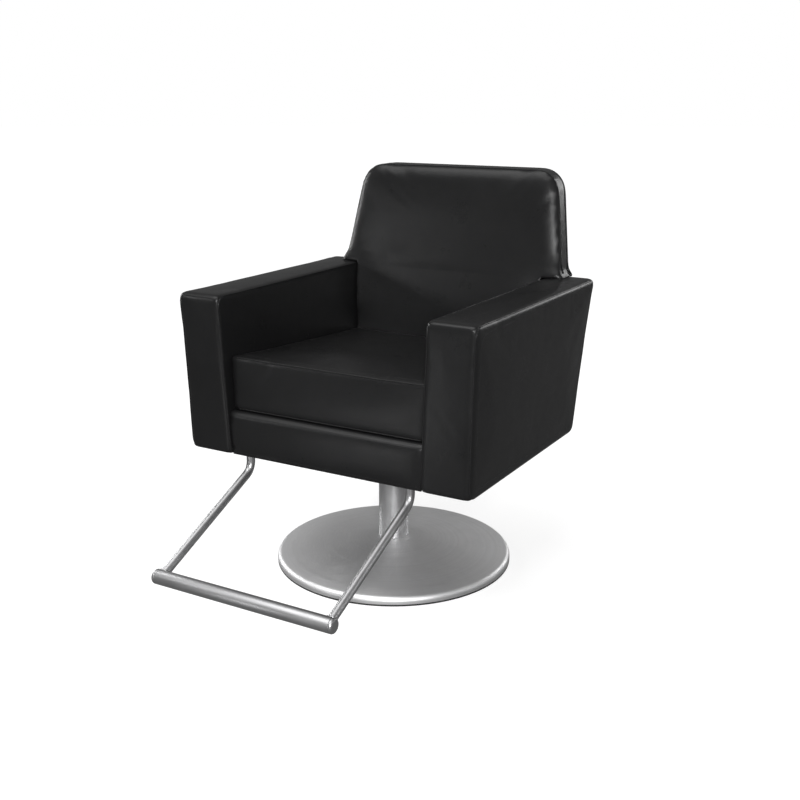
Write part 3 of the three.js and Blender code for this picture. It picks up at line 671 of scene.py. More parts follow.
def times(tree, first, second):
    """One value times another."""
    return maths(tree, "MULTIPLY", first, second)


def vector_maths(tree, operation, inputs):
    """One step of vector arithmetic."""
    return place(tree, "ShaderNodeVectorMath", inputs, operation=operation).outputs[0]


def noise(tree, vector, scale, detail, output="Fac", **more):
    """Noise over a vector."""
    inputs = {"Vector": vector, "Scale": scale, "Detail": detail, **more}
    return place(tree, "ShaderNodeTexNoise", inputs).outputs[output]


def blended(tree, share, first, second):
    """A mix of two colours."""
    inputs = {0: share, 6: first, 7: second}
    node = place(tree, "ShaderNodeMix", inputs, data_type="RGBA", clamp_factor=True)
    return node.outputs[2]


def ranged(tree, value, low, high, to_low=0.0, to_high=1.0):
    """Maps a value from one range to another, smoothly and clamped."""
    inputs = {"Value": value, "From Min": low, "From Max": high, "To Min": to_low, "To Max": to_high}
    node = place(tree, "ShaderNodeMapRange", inputs, interpolation_type="SMOOTHSTEP", clamp=True)
    return node.outputs[0]


MADE = {}


def once(maker):
    """A maker that runs the first time it is asked, and gives the same thing from then on."""

    def get():
        if maker not in MADE:
            MADE[maker] = maker()
        return MADE[maker]

    return get


def group(name, inputs, outputs):
    """A new shader node group with a vector and named numbers in, and named numbers out."""
    made = bpy.data.node_groups.new(name, "ShaderNodeTree")
    made.interface.new_socket("Vector", in_out="INPUT", socket_type="NodeSocketVector")
    for label, default in inputs.items():
        socket = made.interface.new_socket(label, in_out="INPUT", socket_type="NodeSocketFloat")
        socket.default_value = default
    for label in outputs:
        made.interface.new_socket(label, in_out="OUTPUT", socket_type="NodeSocketFloat")
    source = made.nodes.new("NodeGroupInput")
    target = made.nodes.new("NodeGroupOutput")
    return made, source.outputs, target.inputs


@once
def grain_group():
    """Fine leather-like grain: a height, the creases between cells and a slow change of tone."""
    inputs = {"Scale": 600.0, "Tone Scale": 9.0}
    made, source, target = group("Vinyl Grain", inputs, ("Height", "Crease", "Tone"))
    vector = source["Vector"]
    warp = noise(made, vector, 160.0, 2.0, "Color")
    shift = vector_maths(made, "MULTIPLY_ADD", {0: warp, 1: (0.0016, 0.0016, 0.0016), 2: vector})
    inputs = {"Vector": shift, "Scale": source["Scale"]}
    cells = place(made, "ShaderNodeTexVoronoi", inputs, feature="DISTANCE_TO_EDGE")
    crease = ranged(made, cells.outputs["Distance"], 0.0, 0.22, 1.0, 0.0)
    fine = noise(made, vector, 2600.0, 3.0)
    slow = noise(made, vector, source["Tone Scale"], 5.0, Roughness=0.55)
    flat = maths(made, "SUBTRACT", 1.0, crease)
    supply(made, target["Height"], maths(made, "MULTIPLY_ADD", fine, 0.18, flat))
    supply(made, target["Crease"], crease)
    supply(made, target["Tone"], slow)
    return made


@once
def brushed_group():
    """Fine scratches along one direction: a height and streaks."""
    made, source, target = group("Brushed Lines", {"Fineness": 1.0}, ("Height", "Streak"))
    scaled = vector_maths(made, "SCALE", {0: source["Vector"], "Scale": source["Fineness"]})
    lines = noise(made, scaled, 1.0, 4.0, Roughness=0.65)
    broad = noise(made, scaled, 0.13, 2.0)
    supply(made, target["Height"], lines)
    supply(made, target["Streak"], ranged(made, times(made, lines, broad), 0.12, 0.4))
    return made


@once
def wear_group():
    """Rubbed edges, dust on what faces up, and smudges."""
    made, source, target = group("Handling", {"Scale": 30.0}, ("Edge", "Dust", "Smudge"))
    vector = source["Vector"]
    geometry = place(made, "ShaderNodeNewGeometry")
    patches = noise(made, vector, source["Scale"], 6.0, Roughness=0.6)
    pointed = ranged(made, geometry.outputs["Pointiness"], 0.515, 0.60)
    edge = times(made, pointed, ranged(made, patches, 0.35, 0.65))
    up = place(made, "ShaderNodeSeparateXYZ", {0: geometry.outputs["Normal"]})
    grains = ranged(made, noise(made, vector, 420.0, 3.0), 0.5, 0.75)
    settled = times(made, ranged(made, up.outputs["Z"], 0.55, 1.0), patches)
    supply(made, target["Edge"], edge)
    supply(made, target["Dust"], times(made, settled, grains))
    supply(made, target["Smudge"], ranged(made, patches, 0.42, 0.7))
    return made


def effect(tree, made, inputs):
    """Places a node group in a material."""
    return place(tree, "ShaderNodeGroup", inputs, node_tree=made).outputs


def cleared(item):
    """The emptied node tree of a material or a world."""
    item.use_nodes = True
    item.node_tree.nodes.clear()
    return item.node_tree


def new_material(name):
    """An empty material with a Principled shader, its node tree and Object coordinates."""
    material = bpy.data.materials.new(name)
    tree = cleared(material)
    output = place(tree, "ShaderNodeOutputMaterial")
    shader = place(tree, "ShaderNodeBsdfPrincipled")
    tree.links.new(shader.outputs[0], output.inputs["Surface"])
    vector = place(tree, "ShaderNodeTexCoord").outputs["Object"]
    return material, tree, shader, vector


def feed(tree, shader, **values):
    """Sets or links a shader's inputs, written with underscores for spaces."""
    for key, value in values.items():
        supply(tree, shader.inputs[key.replace("_", " ")], value)


def bump(tree, height, strength, distance, normal=None):
    """A bump from a height."""
    inputs = {"Height": height, "Strength": strength, "Distance": distance}
    if normal is not None:
        inputs["Normal"] = normal
    return place(tree, "ShaderNodeBump", inputs).outputs[0]


def shade(colour, scale):
    """A colour made lighter or darker, with full alpha."""
    return (*[min(1.0, channel * scale) for channel in colour], 1.0)


# ---------------------------------------------------------------- finishes


def vinyl_finish(name, softer, grain_strength):
    """Smooth upholstery vinyl with a fine grain, rubbed edges and a little dust."""
    looks = settings().looks
    colour, roughness = looks.vinyl, looks.vinyl_roughness - softer
    material, tree, shader, vector = new_material(name)
    grain = effect(tree, grain_group(), {"Vector": vector, "Scale": 1 / looks.grain})
    wear = effect(tree, wear_group(), {"Vector": vector, "Scale": 14.0})
    tone, crease = grain["Tone"], grain["Crease"]
    toned = blended(tree, tone, shade(colour, 0.8), shade(colour, 1.25))
    creased = blended(tree, times(tree, crease, 0.35), toned, shade(colour, 0.45))
    rubbed = blended(tree, times(tree, wear["Edge"], 0.35), creased, shade(colour, 2.6))
    dusty = blended(tree, times(tree, wear["Dust"], 0.035), rubbed, (0.32, 0.30, 0.28, 1.0))
    rough = maths(tree, "MULTIPLY_ADD", tone, 0.10, roughness - 0.05)
    rough = maths(tree, "MULTIPLY_ADD", crease, 0.08, rough)
    rough = maths(tree, "MULTIPLY_ADD", wear["Smudge"], -0.04, rough)
    broad = bump(tree, noise(tree, vector, 26.0, 2.0), 0.10, 0.004)
    normal = bump(tree, grain["Height"], grain_strength, 0.00025, broad)
    feed(tree, shader, Base_Color=dusty, Roughness=rough, Normal=normal, Specular_IOR_Level=0.28)
    return material


def seam_thread():
    """Twisted black thread."""
    material, tree, shader, vector = new_material("Seam Thread")
    inputs = {"Vector": vector, "Scale": 900.0, "Distortion": 2.0, "Detail": 1.0}
    twist = place(tree, "ShaderNodeTexWave", inputs, bands_direction="DIAGONAL").outputs["Fac"]
    colour = blended(tree, twist, (0.010, 0.010, 0.011, 1.0), (0.022, 0.022, 0.023, 1.0))
    feed(tree, shader, Base_Color=colour, Roughness=0.62, Normal=bump(tree, twist, 0.4, 0.0002))
    return material


def brushed_vector(tree, vector, way):
    """Coordinates stretched so that brushed lines run along X, along Z, or round the Z axis."""
    stretches = {"along_x": (14.0, 1400.0, 1400.0), "along_z": (1400.0, 1400.0, 14.0)}
    if way in stretches:
        return vector_maths(tree, "MULTIPLY", {0: vector, 1: stretches[way]})
    x, y, z = list(place(tree, "ShaderNodeSeparateXYZ", {0: vector}).outputs)
    radius = maths(tree, "SQRT", maths(tree, "ADD", times(tree, x, x), times(tree, y, y)))
    spin = maths(tree, "ARCTAN2", y, x)
    inputs = {
        0: times(tree, radius, 1300.0),
        1: times(tree, z, 1300.0),
        2: times(tree, maths(tree, "SINE", spin), 3.0),
    }
    return place(tree, "ShaderNodeCombineXYZ", inputs).outputs[0]


def metal_finish(name, colour, roughness, way=None, strength=0.05, metallic=1.0):
    """A metal with smudges, rubbed edges, a little dust, and brushed lines or grit."""
    material, tree, shader, vector = new_material(name)
    wear = effect(tree, wear_group(), {"Vector": vector, "Scale": 22.0})
    toned = blended(tree, wear["Smudge"], shade(colour, 1.02), shade(colour, 0.97))
    rough = maths(tree, "MULTIPLY_ADD", wear["Smudge"], 0.035, roughness - 0.015)
    if way:
        lines = effect(tree, brushed_group(), {"Vector": brushed_vector(tree, vector, way)})
        toned = blended(tree, times(tree, lines["Streak"], 0.22), toned, shade(colour, 0.72))
        rough = maths(tree, "MULTIPLY_ADD", lines["Streak"], 0.06, rough)
        height = lines["Height"]
    else:
        height = noise(tree, vector, 1500.0, 3.0)
    bright = blended(tree, times(tree, wear["Edge"], 0.4), toned, shade(colour, 1.5))
    dusty = blended(tree, times(tree, wear["Dust"], 0.05), bright, (0.4, 0.39, 0.37, 1.0))
    normal = bump(tree, height, strength, 0.0002)
    feed(tree, shader, Base_Color=dusty, Roughness=rough, Normal=normal, Metallic=metallic)
    return material


def steel_finish(name, scale, way, strength):
    """Satin steel, lighter or darker than the settings say by `scale`; a scale above one paints light
    into the colour.
    """
    looks = settings().looks
    colour = tuple(channel * scale for channel in looks.steel)
    return metal_finish(name, colour, looks.steel_roughness, way, strength)


def wood_finish(name, pale, dark, scale):
    """Wood with grain along X and open pores."""
    material, tree, shader, vector = new_material(name)
    stretched = vector_maths(tree, "MULTIPLY", {0: vector, 1: (3.0, 30.0, 30.0)})
    inputs = {"Vector": stretched, "Scale": scale, "Distortion": 5.0, "Detail": 4.0}
    rings = place(tree, "ShaderNodeTexWave", inputs, bands_direction="Z").outputs["Fac"]
    pores = noise(tree, stretched, 30.0, 5.0)
    colour = blended(tree, rings, (*pale, 1.0), (*dark, 1.0))
    feed(
        tree,
        shader,
        Base_Color=blended(tree, ranged(tree, pores, 0.55, 0.75), colour, shade(dark, 0.6)),
        Roughness=maths(tree, "MULTIPLY_ADD", pores, 0.25, 0.5),
        Normal=bump(tree, pores, 0.25, 0.0005),
    )
    return material


def rubber_finish():
    """Matte moulded rubber."""
    material, tree, shader, vector = new_material("Moulded Rubber")
    grit = noise(tree, vector, 1200.0, 4.0)
    wear = effect(tree, wear_group(), {"Vector": vector, "Scale": 40.0})
    toned = blended(tree, wear["Smudge"], (0.012, 0.012, 0.012, 1.0), (0.028, 0.027, 0.026, 1.0))
    feed(
        tree,
        shader,
        Base_Color=blended(tree, times(tree, wear["Dust"], 0.12), toned, (0.3, 0.29, 0.27, 1)),
        Roughness=maths(tree, "MULTIPLY_ADD", grit, 0.2, 0.66),
        Normal=bump(tree, grit, 0.3, 0.0003),
    )
    return material


def lining_finish():
    """Black bonded cloth, as stapled under seats."""
    material, tree, shader, vector = new_material("Bonded Cloth")
    fibres = noise(tree, vector, 700.0, 6.0, Distortion=1.5)
    inputs = {"Vector": vector, "Scale": 480.0, "Randomness": 0.15}
    dots = place(tree, "ShaderNodeTexVoronoi", inputs).outputs["Distance"]
    spots = ranged(tree, dots, 0.15, 0.35)
    share = times(tree, fibres, spots)
    toned = blended(tree, share, (0.009, 0.009, 0.009, 1.0), (0.035, 0.035, 0.036, 1.0))
    normal = bump(tree, maths(tree, "ADD", fibres, spots), 0.35, 0.0004)
    feed(tree, shader, Base_Color=toned, Roughness=0.9, Normal=normal)
    return material


FINISHES = {
    name: once(maker)
    for name, maker in {
        "black_vinyl": lambda: vinyl_finish("Black Vinyl", 0.0, 0.16),
        "seam_vinyl": lambda: vinyl_finish("Seam Vinyl", 0.04, 0.06),
        "seam_thread": seam_thread,
        "spun_steel": lambda: metal_finish(
            "Spun Steel", tuple(settings().looks.spun), settings().looks.spun_roughness, "round", 0.04
        ),
        # The column takes the satin steel painted 1.35 times lighter than the footrest's: painted light
        # standing in for reflections it does not get.
        "column_steel": lambda: steel_finish("Column Steel Painted Lighter", 1.35, "along_z", 0.05),
        "bar_steel": lambda: steel_finish("Bar Steel", 1.0, "along_x", 0.04),
        "tube_steel": lambda: steel_finish("Tube Steel", 1.0, None, 0.012),
        "cast_iron": lambda: metal_finish("Cast Iron", (0.16, 0.16, 0.165), 0.62, None, 0.5, 0.85),
        "painted_iron": lambda: metal_finish(
            "Painted Iron", (0.045, 0.045, 0.048), 0.42, None, 0.22, 0.15
        ),
        "polished_steel": lambda: metal_finish(
            "Polished Steel", (0.80, 0.81, 0.82), 0.10, "round", 0.01
        ),
        "zinc_steel": lambda: metal_finish("Zinc Plate", (0.55, 0.56, 0.58), 0.36, None, 0.1),
        "bronze": lambda: metal_finish("Bearing Bronze", (0.60, 0.44, 0.22), 0.34, "round", 0.05),
        "rubber": rubber_finish,
        "plywood": lambda: wood_finish("Plywood", (0.58, 0.42, 0.25), (0.40, 0.26, 0.13), 0.6),
        "hardwood": lambda: wood_finish("Hardwood", (0.46, 0.30, 0.16), (0.27, 0.16, 0.08), 1.1),
        "lining": lining_finish,
    }.items()
}

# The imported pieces' slots whose finish has another name.
SLOT_FINISH = {"vinyl": "black_vinyl", "satin_steel": "tube_steel"}


# ---------------------------------------------------------------- upholstery


def arm_form(sign, inset):
    """The arm's block with rounded edges, drawn in by `inset` all round."""
    arm = settings().arm
    top, foot = ARM_TOP - inset, FOOT + 0.0005
    across = {
        top: (ARM_HIGH.x - arm.thickness + inset, ARM_HIGH.x - inset),
        foot: (ARM_LOW.x + inset, ARM_LOW.x + arm.thickness + arm.foot_growth - inset),
    }
    along = {
        top: (ARM_LOW.y + inset, ARM_HIGH.y - inset),
        foot: (ARM_LOW.y + arm.front_lean + inset, ARM_HIGH.y - arm.rear_lean - inset),
    }

    def corner(x, y, z):
        level = top if z > 0 else foot
        return sign * across[level][x > 0], along[level][y > 0], level

    form = block(corner)
    upper = [edge for edge in form.edges if max(vertex.co.z for vertex in edge.verts) > foot + 0.01]
    soften_edges(form, upper, arm.edge, 5)
    return bevelled(form, arm.foot_edge, segments=3, least=math.radians(60))


def arm_loop(sign, outer, inset):
    """The edge of an arm's outer or inner face, drawn in by `inset`."""
    arm = settings().arm
    radius = 0.022
    corners = rounded(
        [
            (ARM_LOW.y + arm.front_lean + inset, FOOT + inset, radius),
            (ARM_HIGH.y - arm.rear_lean - inset, FOOT + inset, radius),
            (ARM_HIGH.y - inset, ARM_TOP - inset, radius),
            (ARM_LOW.y + inset, ARM_TOP - inset, radius),
        ]
    )
    loop = []
    for y, z in corners:
        share = (z - FOOT) / (ARM_TOP - FOOT)
        x = arm_inner(z) + (arm.thickness + arm.foot_growth * (1 - share) if outer else 0.0)
        loop.append(Vector((sign * x, y, z)))
    return loop


class CHAIR_OT_arms(bpy.types.Operator):
    """Padded box arms with their seams and the lining under them"""

    bl_idname = "chair.arms"
    bl_label = "Arms"

    def execute(self, context):
        arm = settings().arm

        def held(points):
            low = points[:, 2] < FOOT + 0.004
            inside = (numpy.abs(points[:, 0]) < ARM_LOW.x + 0.02) & (points[:, 2] < SEAT_ZONE)
            return low | inside

        for side, sign in SIDES:

            def limit(points, sign=sign):
                result = points.copy()
                inner = arm_inner(result[:, 2])
                result[:, 0] = sign * numpy.maximum(sign * result[:, 0], inner + 0.0004)
                result[:, 2] = numpy.maximum(result[:, 2], FOOT)
                return result

            mesh = even_mesh(arm_form(sign, -arm.spread))
            moves = swelling(mesh, 4.0, arm.swell, held)
            piece = padded_piece(f"arm_cover_{side}", mesh, moves, limit)
            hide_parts(f"arm_pad_{side}")
            tree = surface(piece)
            welt(f"arm_outer_seam_{side}", tree, arm_loop(sign, True, 0.0))
            welt(f"arm_inner_seam_{side}", tree, arm_loop(sign, False, 0.0))
            row = arm_loop(sign, True, arm.edge + settings().seam.inset)
            stitches(f"arm_stitching_{side}", tree, row)
            self.lining(side, sign)
        return {"FINISHED"}

    def lining(self, side, sign):
        """The bonded cloth stapled under an arm."""
        arm = settings().arm
        margin = 0.011
        near = ARM_LOW.x + margin
        far = ARM_LOW.x + arm.thickness + arm.foot_growth - margin
        front = ARM_LOW.y + arm.front_lean + margin
        rear = ARM_HIGH.y - arm.rear_lean - margin
        outline = rectangle((near, front), (far, rear), (0.004,) * 4, 3)
        thickness = 0.0008
        rim = [(sign * x, y, FOOT - thickness / 2) for x, y in outline]
        sheet = thickened(rim, (0.0, 0.0, thickness))
        piece = finished(f"arm_lining_{side}", sheet, "lining", "seat")


class CHAIR_OT_cushion(bpy.types.Operator):
    """Seat cushion with boxed seams"""

    bl_idname = "chair.cushion"
    bl_label = "Seat cushion"

    def execute(self, context):
        sizes = settings().cushion
        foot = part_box("seat_cushion")[0].z

        def held(points):
            return points[:, 2] < foot + 0.006

        def limit(points):
            result = points.copy()
            room = arm_inner(result[:, 2]) - PAD_GAP
            result[:, 0] = numpy.clip(result[:, 0], -room, room)
            result[:, 1] = numpy.minimum(result[:, 1], back_front(result[:, 2]) - PAD_GAP)
            result[:, 2] = numpy.maximum(result[:, 2], foot)
            return result

        mesh = even_mesh(self.form())
        moves = swelling(mesh, 5.0, sizes.swell, held)
        piece = padded_piece("seat_cushion_cover", mesh, moves, limit)
        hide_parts("seat_cushion")
        tree = surface(piece)
        welt("cushion_top_seam", tree, self.loop("top", 0.0))
        welt("cushion_bottom_seam", tree, self.loop("bottom", 0.0))
        row = self.loop("top", sizes.edge + settings().seam.inset)
        stitches("cushion_stitching", tree, row)
        return {"FINISHED"}

    def corners(self):
        """The cushion's four corners in (y, z): front and rear, bottom and top."""
        sizes = settings().cushion
        low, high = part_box("seat_cushion")
        rear_top = high.z - sizes.rear_drop
        return {
            "front_bottom": (low.y, low.z),
            "rear_bottom": (back_front(low.z) - sizes.clearance, low.z),
            "rear_top": (back_front(rear_top) - sizes.clearance, rear_top),
            "front_top": (low.y + sizes.front_lean, high.z),
        }

    def form(self):
        """The cushion's block with rounded edges."""
        sizes = settings().cushion
        places = self.corners()
        foot = places["front_bottom"][1]

        def corner(x, y, z):
            y, z = places[f"{'rear' if y > 0 else 'front'}_{'top' if z > 0 else 'bottom'}"]
            return (arm_inner(z) - sizes.clearance) * math.copysign(1, x), y, z

        form = block(corner)
        upright = [e for e in form.edges if abs(e.verts[0].co.z - e.verts[1].co.z) > 0.05]
        soften_edges(form, upright, sizes.side_edge, 3)
        sharp = [edge for edge in form.edges if edge.calc_face_angle(0.0) > math.radians(60)]
        top = [edge for edge in sharp if min(v.co.z for v in edge.verts) > foot + 0.05]
        soften_edges(form, top, sizes.edge, 5)
        return bevelled(form, sizes.side_edge, segments=3, least=math.radians(60))

    def loop(self, level, inset):
        """The edge of the cushion's top or bottom, drawn in by `inset`."""
        places = self.corners()
        front_y, front_z = places[f"front_{level}"]
        rear_y, rear_z = places[f"rear_{level}"]
        clearance = settings().cushion.clearance
        half, rear_half = (arm_inner(z) - clearance - inset for z in (front_z, rear_z))
        radius = 0.012
        outline = rounded(
            [
                (-half, front_y + inset, radius),
                (half, front_y + inset, radius),
                (rear_half, rear_y - inset, radius),
                (-rear_half, rear_y - inset, radius),
            ]
        )
        slope = (rear_z - front_z) / (rear_y - front_y)
        return [Vector((x, y, front_z + slope * (y - front_y))) for x, y in outline]


class CHAIR_OT_apron(bpy.types.Operator):
    """Padded band across the front, under the cushion"""

    bl_idname = "chair.apron"
    bl_label = "Apron"

    def execute(self, context):
        sizes = settings().cushion
        low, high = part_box("seat_apron")
        half = arm_inner(high.z) - sizes.clearance
        rail_top = high.z - sizes.apron_lip
        outline = rounded(
            [
                (low.y + 0.0005, low.z, 0.003),
                (low.y + sizes.apron_skin, low.z, 0.001),
                (low.y + sizes.apron_skin, rail_top, 0.0),
                (high.y, rail_top, 0.001),
                (high.y, high.z, 0.004),
                (low.y + 0.0005, high.z, sizes.apron_edge),
            ],
            6,
        )
        form = reshaped(plate(outline, 2 * half), lambda y, x, z: (x - half, y, z))
        ends = [e for e in form.edges if all(abs(abs(v.co.x) - half) < 1e-6 for v in e.verts)]
        soften_edges(form, ends, 0.0025, 3)
        sliced(form, 0, steps_between(-half + 0.004, half - 0.004, 0.012))
        sliced(form, 2, steps_between(low.z + 0.004, high.z - sizes.apron_edge, 0.008))
        middle = (low.z + high.z) / 2
        rise = (high.z - low.z) / 2
        for vertex in form.verts:
            x, y, z = vertex.co
            across = min(1.0, (half - abs(x)) / sizes.apron_fall)
            across = math.sqrt(max(0.0, 1 - (1 - across) ** 2))
            upward = 1 - min(1.0, abs((z - middle) / rise)) ** 3
            front = max(0.0, 1 - (y - low.y) / sizes.apron_skin)
            y -= sizes.apron_swell * across * upward * front
            vertex.co = (x * arm_inner(z) / arm_inner(high.z), y, z)
        piece = finished("apron_cover", form, "black_vinyl", "seat", sharp=math.radians(50))
        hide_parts("seat_apron")
        tree = surface(piece)
        edge = half - 0.004
        row_height = low.z + 0.009
        scale = arm_inner(row_height) / arm_inner(high.z)
        row = [Vector((sign * edge * scale, low.y, row_height)) for sign in (-1, 1)]
        stitches("apron_stitching", tree, row, closed=False)
        return {"FINISHED"}


def upper_side(sign):
    """Half of the backrest's outline above the arms, from the flare's tip to the top's middle."""
    back = settings().back
    tip = LEDGE + 0.0035
    flare_top = tip + back.flare
    side = back_side(flare_top)
    points = [(back.half_foot + back.flare, LEDGE), (back.half_foot + back.flare, tip)]
    steps = 7
    for step in range(1, steps + 1):
        turn = math.pi / 2 * step / steps
        spread = back.flare * (1 - math.sin(turn))
        drift = (back.half_foot - side) * (1 - step / steps)
        points.append((side + spread + drift, tip + back.flare * (1 - math.cos(turn))))
    top = CAD_HIGH.z
    middle, start, corner = (0.0, top, 0), (back.half_foot, flare_top, 0), back_side(top)
    points.extend(rounded([middle, start, (corner, top, back.corner)], 14)[2:])
    return [(sign * x, z) for x, z in points]


def upper_edge(first):
    """The backrest's edge above the arms, from one flare over the top to the other."""
    return [*upper_side(-1)[first:], *reversed(upper_side(1)[first:])]


def back_outline(foot):
    """The backrest's whole outline in (x, z), down to `foot` between the arms."""
    clearance = settings().cushion.clearance
    low = arm_inner(foot) - clearance
    neck = arm_inner(ARM_TOP) - clearance
    right_up = [(low, foot), (neck, LEDGE), *upper_side(1)]
    left_down = [(-x, z) for x, z in reversed(right_up)]
    return right_up + left_down


def distance_to(path, points):
    """The distance of each (x, z) point from a path of straight stretches."""
    start = numpy.array(path[:-1])
    run = numpy.array(path[1:]) - start
    span = numpy.maximum((run**2).sum(axis=1), 1e-12)
    offset = points[:, None, :] - start[None]
    share = numpy.clip((offset * run[None]).sum(axis=2) / span, 0.0, 1.0)
    gap = offset - share[..., None] * run[None]
    return numpy.sqrt((gap**2).sum(axis=2)).min(axis=1)


def depth_share(y, z):
    """How deep a place lies in the backrest: 0 at the front face, 1 at the rear."""
    return (y - back_front(z)) / (back_rear(z) - back_front(z))


class CHAIR_OT_backrest(bpy.types.Operator):
    """Leaning backrest with a soft front edge, and its rear panel"""

    bl_idname = "chair.backrest"
    bl_label = "Backrest"

    def execute(self, context):
        back = settings().back
        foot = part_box("back_pad")[0].z

        def held(points):
            beside = (points[:, 2] < ARM_TOP + 0.006) & (numpy.abs(points[:, 0]) > 0.2)
            deep = depth_share(points[:, 1], points[:, 2]) > 0.7
            return deep | (points[:, 2] < SEAT_ZONE) | beside

        def limit(points):
            result = points.copy()
            x, y, z = result.T
            room = arm_inner(z) - PAD_GAP
            x[:] = numpy.where(z < ARM_TOP, numpy.clip(x, -room, room), x)
            over_arm = (numpy.abs(x) > arm_inner(ARM_TOP) - 0.001) & (z < ARM_TOP + 0.004)
            z[:] = numpy.where(over_arm, numpy.maximum(z, ARM_TOP + 0.0006), z)
            y[:] = numpy.where(z < SEAT_ZONE, numpy.maximum(y, back_front(z) - 0.0004), y)
            return result

        slab = self.slab(self.spread_outline(foot), 0.0, back.panel_share - 0.004)
        mesh = even_mesh(slab)
        self.soften(mesh)
        moves = swelling(mesh, 4.0, back.swell, held)
        piece = padded_piece("backrest_cover", mesh, moves, limit)
        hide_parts("back_pad")
        self.edge_seams(surface(piece))
        rear_tree = surface(self.rear_panel())
        outline = back_outline(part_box("back_rear_panel")[0].z)
        rim = [Vector((x, back_rear(z) - 0.0015, z)) for x, z in outline]
        welt("rear_panel_seam", rear_tree, rim, radius=0.0018)
        row = [Vector((x, back_rear(z), z)) for x, z in self.inset_loop(0.016)]
        stitches("rear_panel_stitching", rear_tree, row)
        self.caps()
        return {"FINISHED"}

    def spread_outline(self, foot):
        """The outline, a little larger above the arms."""
        spread = settings().back.spread
        result = []
        for x, z in back_outline(foot):
            if z > ARM_TOP + 0.01:
                x += math.copysign(spread, x)
                z += spread * min(1.0, (z - ARM_TOP) / 0.15) * 0.6
            elif z > ARM_TOP:
                z -= spread * 0.8
            result.append((x, z))
        return result

    def slab(self, outline, start, end, thickness=0.05, edges=(0.006, 0.002)):
        """A slab of the backrest between two shares of its thickness, with its two rims rounded."""
        form = plate(outline, thickness)
        for depth, edge in zip((0.0, thickness), edges):
            rim = [e for e in form.edges if all(abs(v.co.y - depth) < 1e-6 for v in e.verts)]
            soften_edges(form, rim, edge, 3)
        taper = settings().back.taper

        def lean(x, y, z):
            share = start + (end - start) * y / thickness
            front, rear = back_front(z), back_rear(z)
            rise = max(0.0, z - ARM_TOP)
            drawn = share * taper * min(1.0, rise / 0.05)
            return x * (1 - drawn), front + share * (rear - front), z - drawn * rise * 0.6

        return reshaped(form, lean)

    def soften(self, mesh):
        """Lets the front face fall back towards its upper edge, and come forward by the arms."""
        back = settings().back
        points = points_of(mesh)
        x, y, z = points.T
        gap = distance_to(upper_edge(1), points[:, [0, 2]])
        share = numpy.clip(1 - gap / back.band, 0.0, 1.0)
        fall = back.band_depth * (1 - numpy.sqrt(1 - share**2))
        rise = numpy.clip((z - ARM_TOP) / 0.03, 0.0, 1.0)
        front = 1 - numpy.clip(depth_share(y, z), 0.0, 1.0)
        y += fall * rise * front
        beside = numpy.exp(-numpy.maximum(arm_inner(z) - numpy.abs(x), 0.0) / 0.04)
        level = numpy.clip((z - SEAT_ZONE) / 0.07, 0.0, 1.0)
        level *= 1 - numpy.clip((z - ARM_TOP + 0.02) / 0.08, 0.0, 1.0)
        level = level * level * (3 - 2 * level)
        y -= back.wrap * beside * level * front
        mesh.vertices.foreach_set("co", points.ravel())

    def edge_seams(self, tree):
        """The seam between the front panel and the side band, and stitches beside it."""
        upper = [(x * 1.002, z) for x, z in upper_edge(5)]
        depth = settings().back.band_depth + 0.004
        path = [Vector((x, back_front(z) + depth, z + 0.001)) for x, z in upper]
        welt("backrest_edge_seam", tree, path, closed=False, passes=12)
        rear = [Vector((x, back_rear(z) - 0.013, z + 0.001)) for x, z in upper]
        stitches("backrest_stitching", tree, rear, closed=False)

    def inset_loop(self, inset):
        """The rear panel's outline, drawn in by `inset` towards its middle."""
        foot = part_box("back_rear_panel")[0].z
        back = settings().back
        low = arm_inner(foot) - inset
        neck = arm_inner(ARM_TOP) - inset
        high = back_side(CAD_HIGH.z) - inset
        side = [
            (low, foot + inset, 0.006),
            (neck + 0.004, ARM_TOP + inset * 0.5, 0.01),
            (back.half_foot - inset, ARM_TOP + inset, 0.012),
            (high, CAD_HIGH.z - inset, back.corner - inset),
        ]
        return rounded(side + [(-x, z, radius) for x, z, radius in reversed(side)])

    def rear_panel(self):
        """The upholstered panel that closes the backrest's rear."""
        back = settings().back
        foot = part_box("back_rear_panel")[0].z
        widest = back.half_foot + back.flare * 0.6
        outline = [(max(-widest, min(widest, x)), z) for x, z in back_outline(foot)]
        form = self.slab(outline, back.panel_share, 1.0, 0.008, (0.0012, back.panel_edge))
        sliced(form, 0, steps_between(-0.27, 0.27, 0.018))
        sliced(form, 2, steps_between(foot + 0.01, CAD_HIGH.z - 0.01, 0.018))
        middle = (foot + CAD_HIGH.z) / 2
        rise = (CAD_HIGH.z - foot) / 2

        def crowned(x, y, z):
            rear = max(0.0, (depth_share(y, z) - back.panel_share) / (1 - back.panel_share))
            room = 1 - min(1.0, abs(x) / 0.25) ** 4
            crown = 0.003 * room * (1 - min(1.0, abs((z - middle) / rise)) ** 4)
            return x, y + crown * rear, z

        reshaped(form, crowned)
        piece = finished("rear_panel_cover", form, "black_vinyl", "seat", sharp=math.radians(60))
        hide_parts("back_rear_panel")
        return piece

    def caps(self):
        """Domed caps over the backrest's bolts."""
        radius, foot = 0.0115, -0.0008
        dome = [(0.0, 0.0045), (0.004, 0.0042), (0.008, 0.0030), (0.0108, 0.0012), (radius, 0.0)]
        for side, _ in SIDES:
            x, _, z = centre(f"back_bolt_{side}")
            form = spun([*dome, (radius, foot), (0.0, foot)], 32, closed=False)
            moved(form, (x, back_rear(z) + 0.0022, z), -math.pi / 2)
            finished(f"back_bolt_cap_{side}", form, "rubber", "seat")


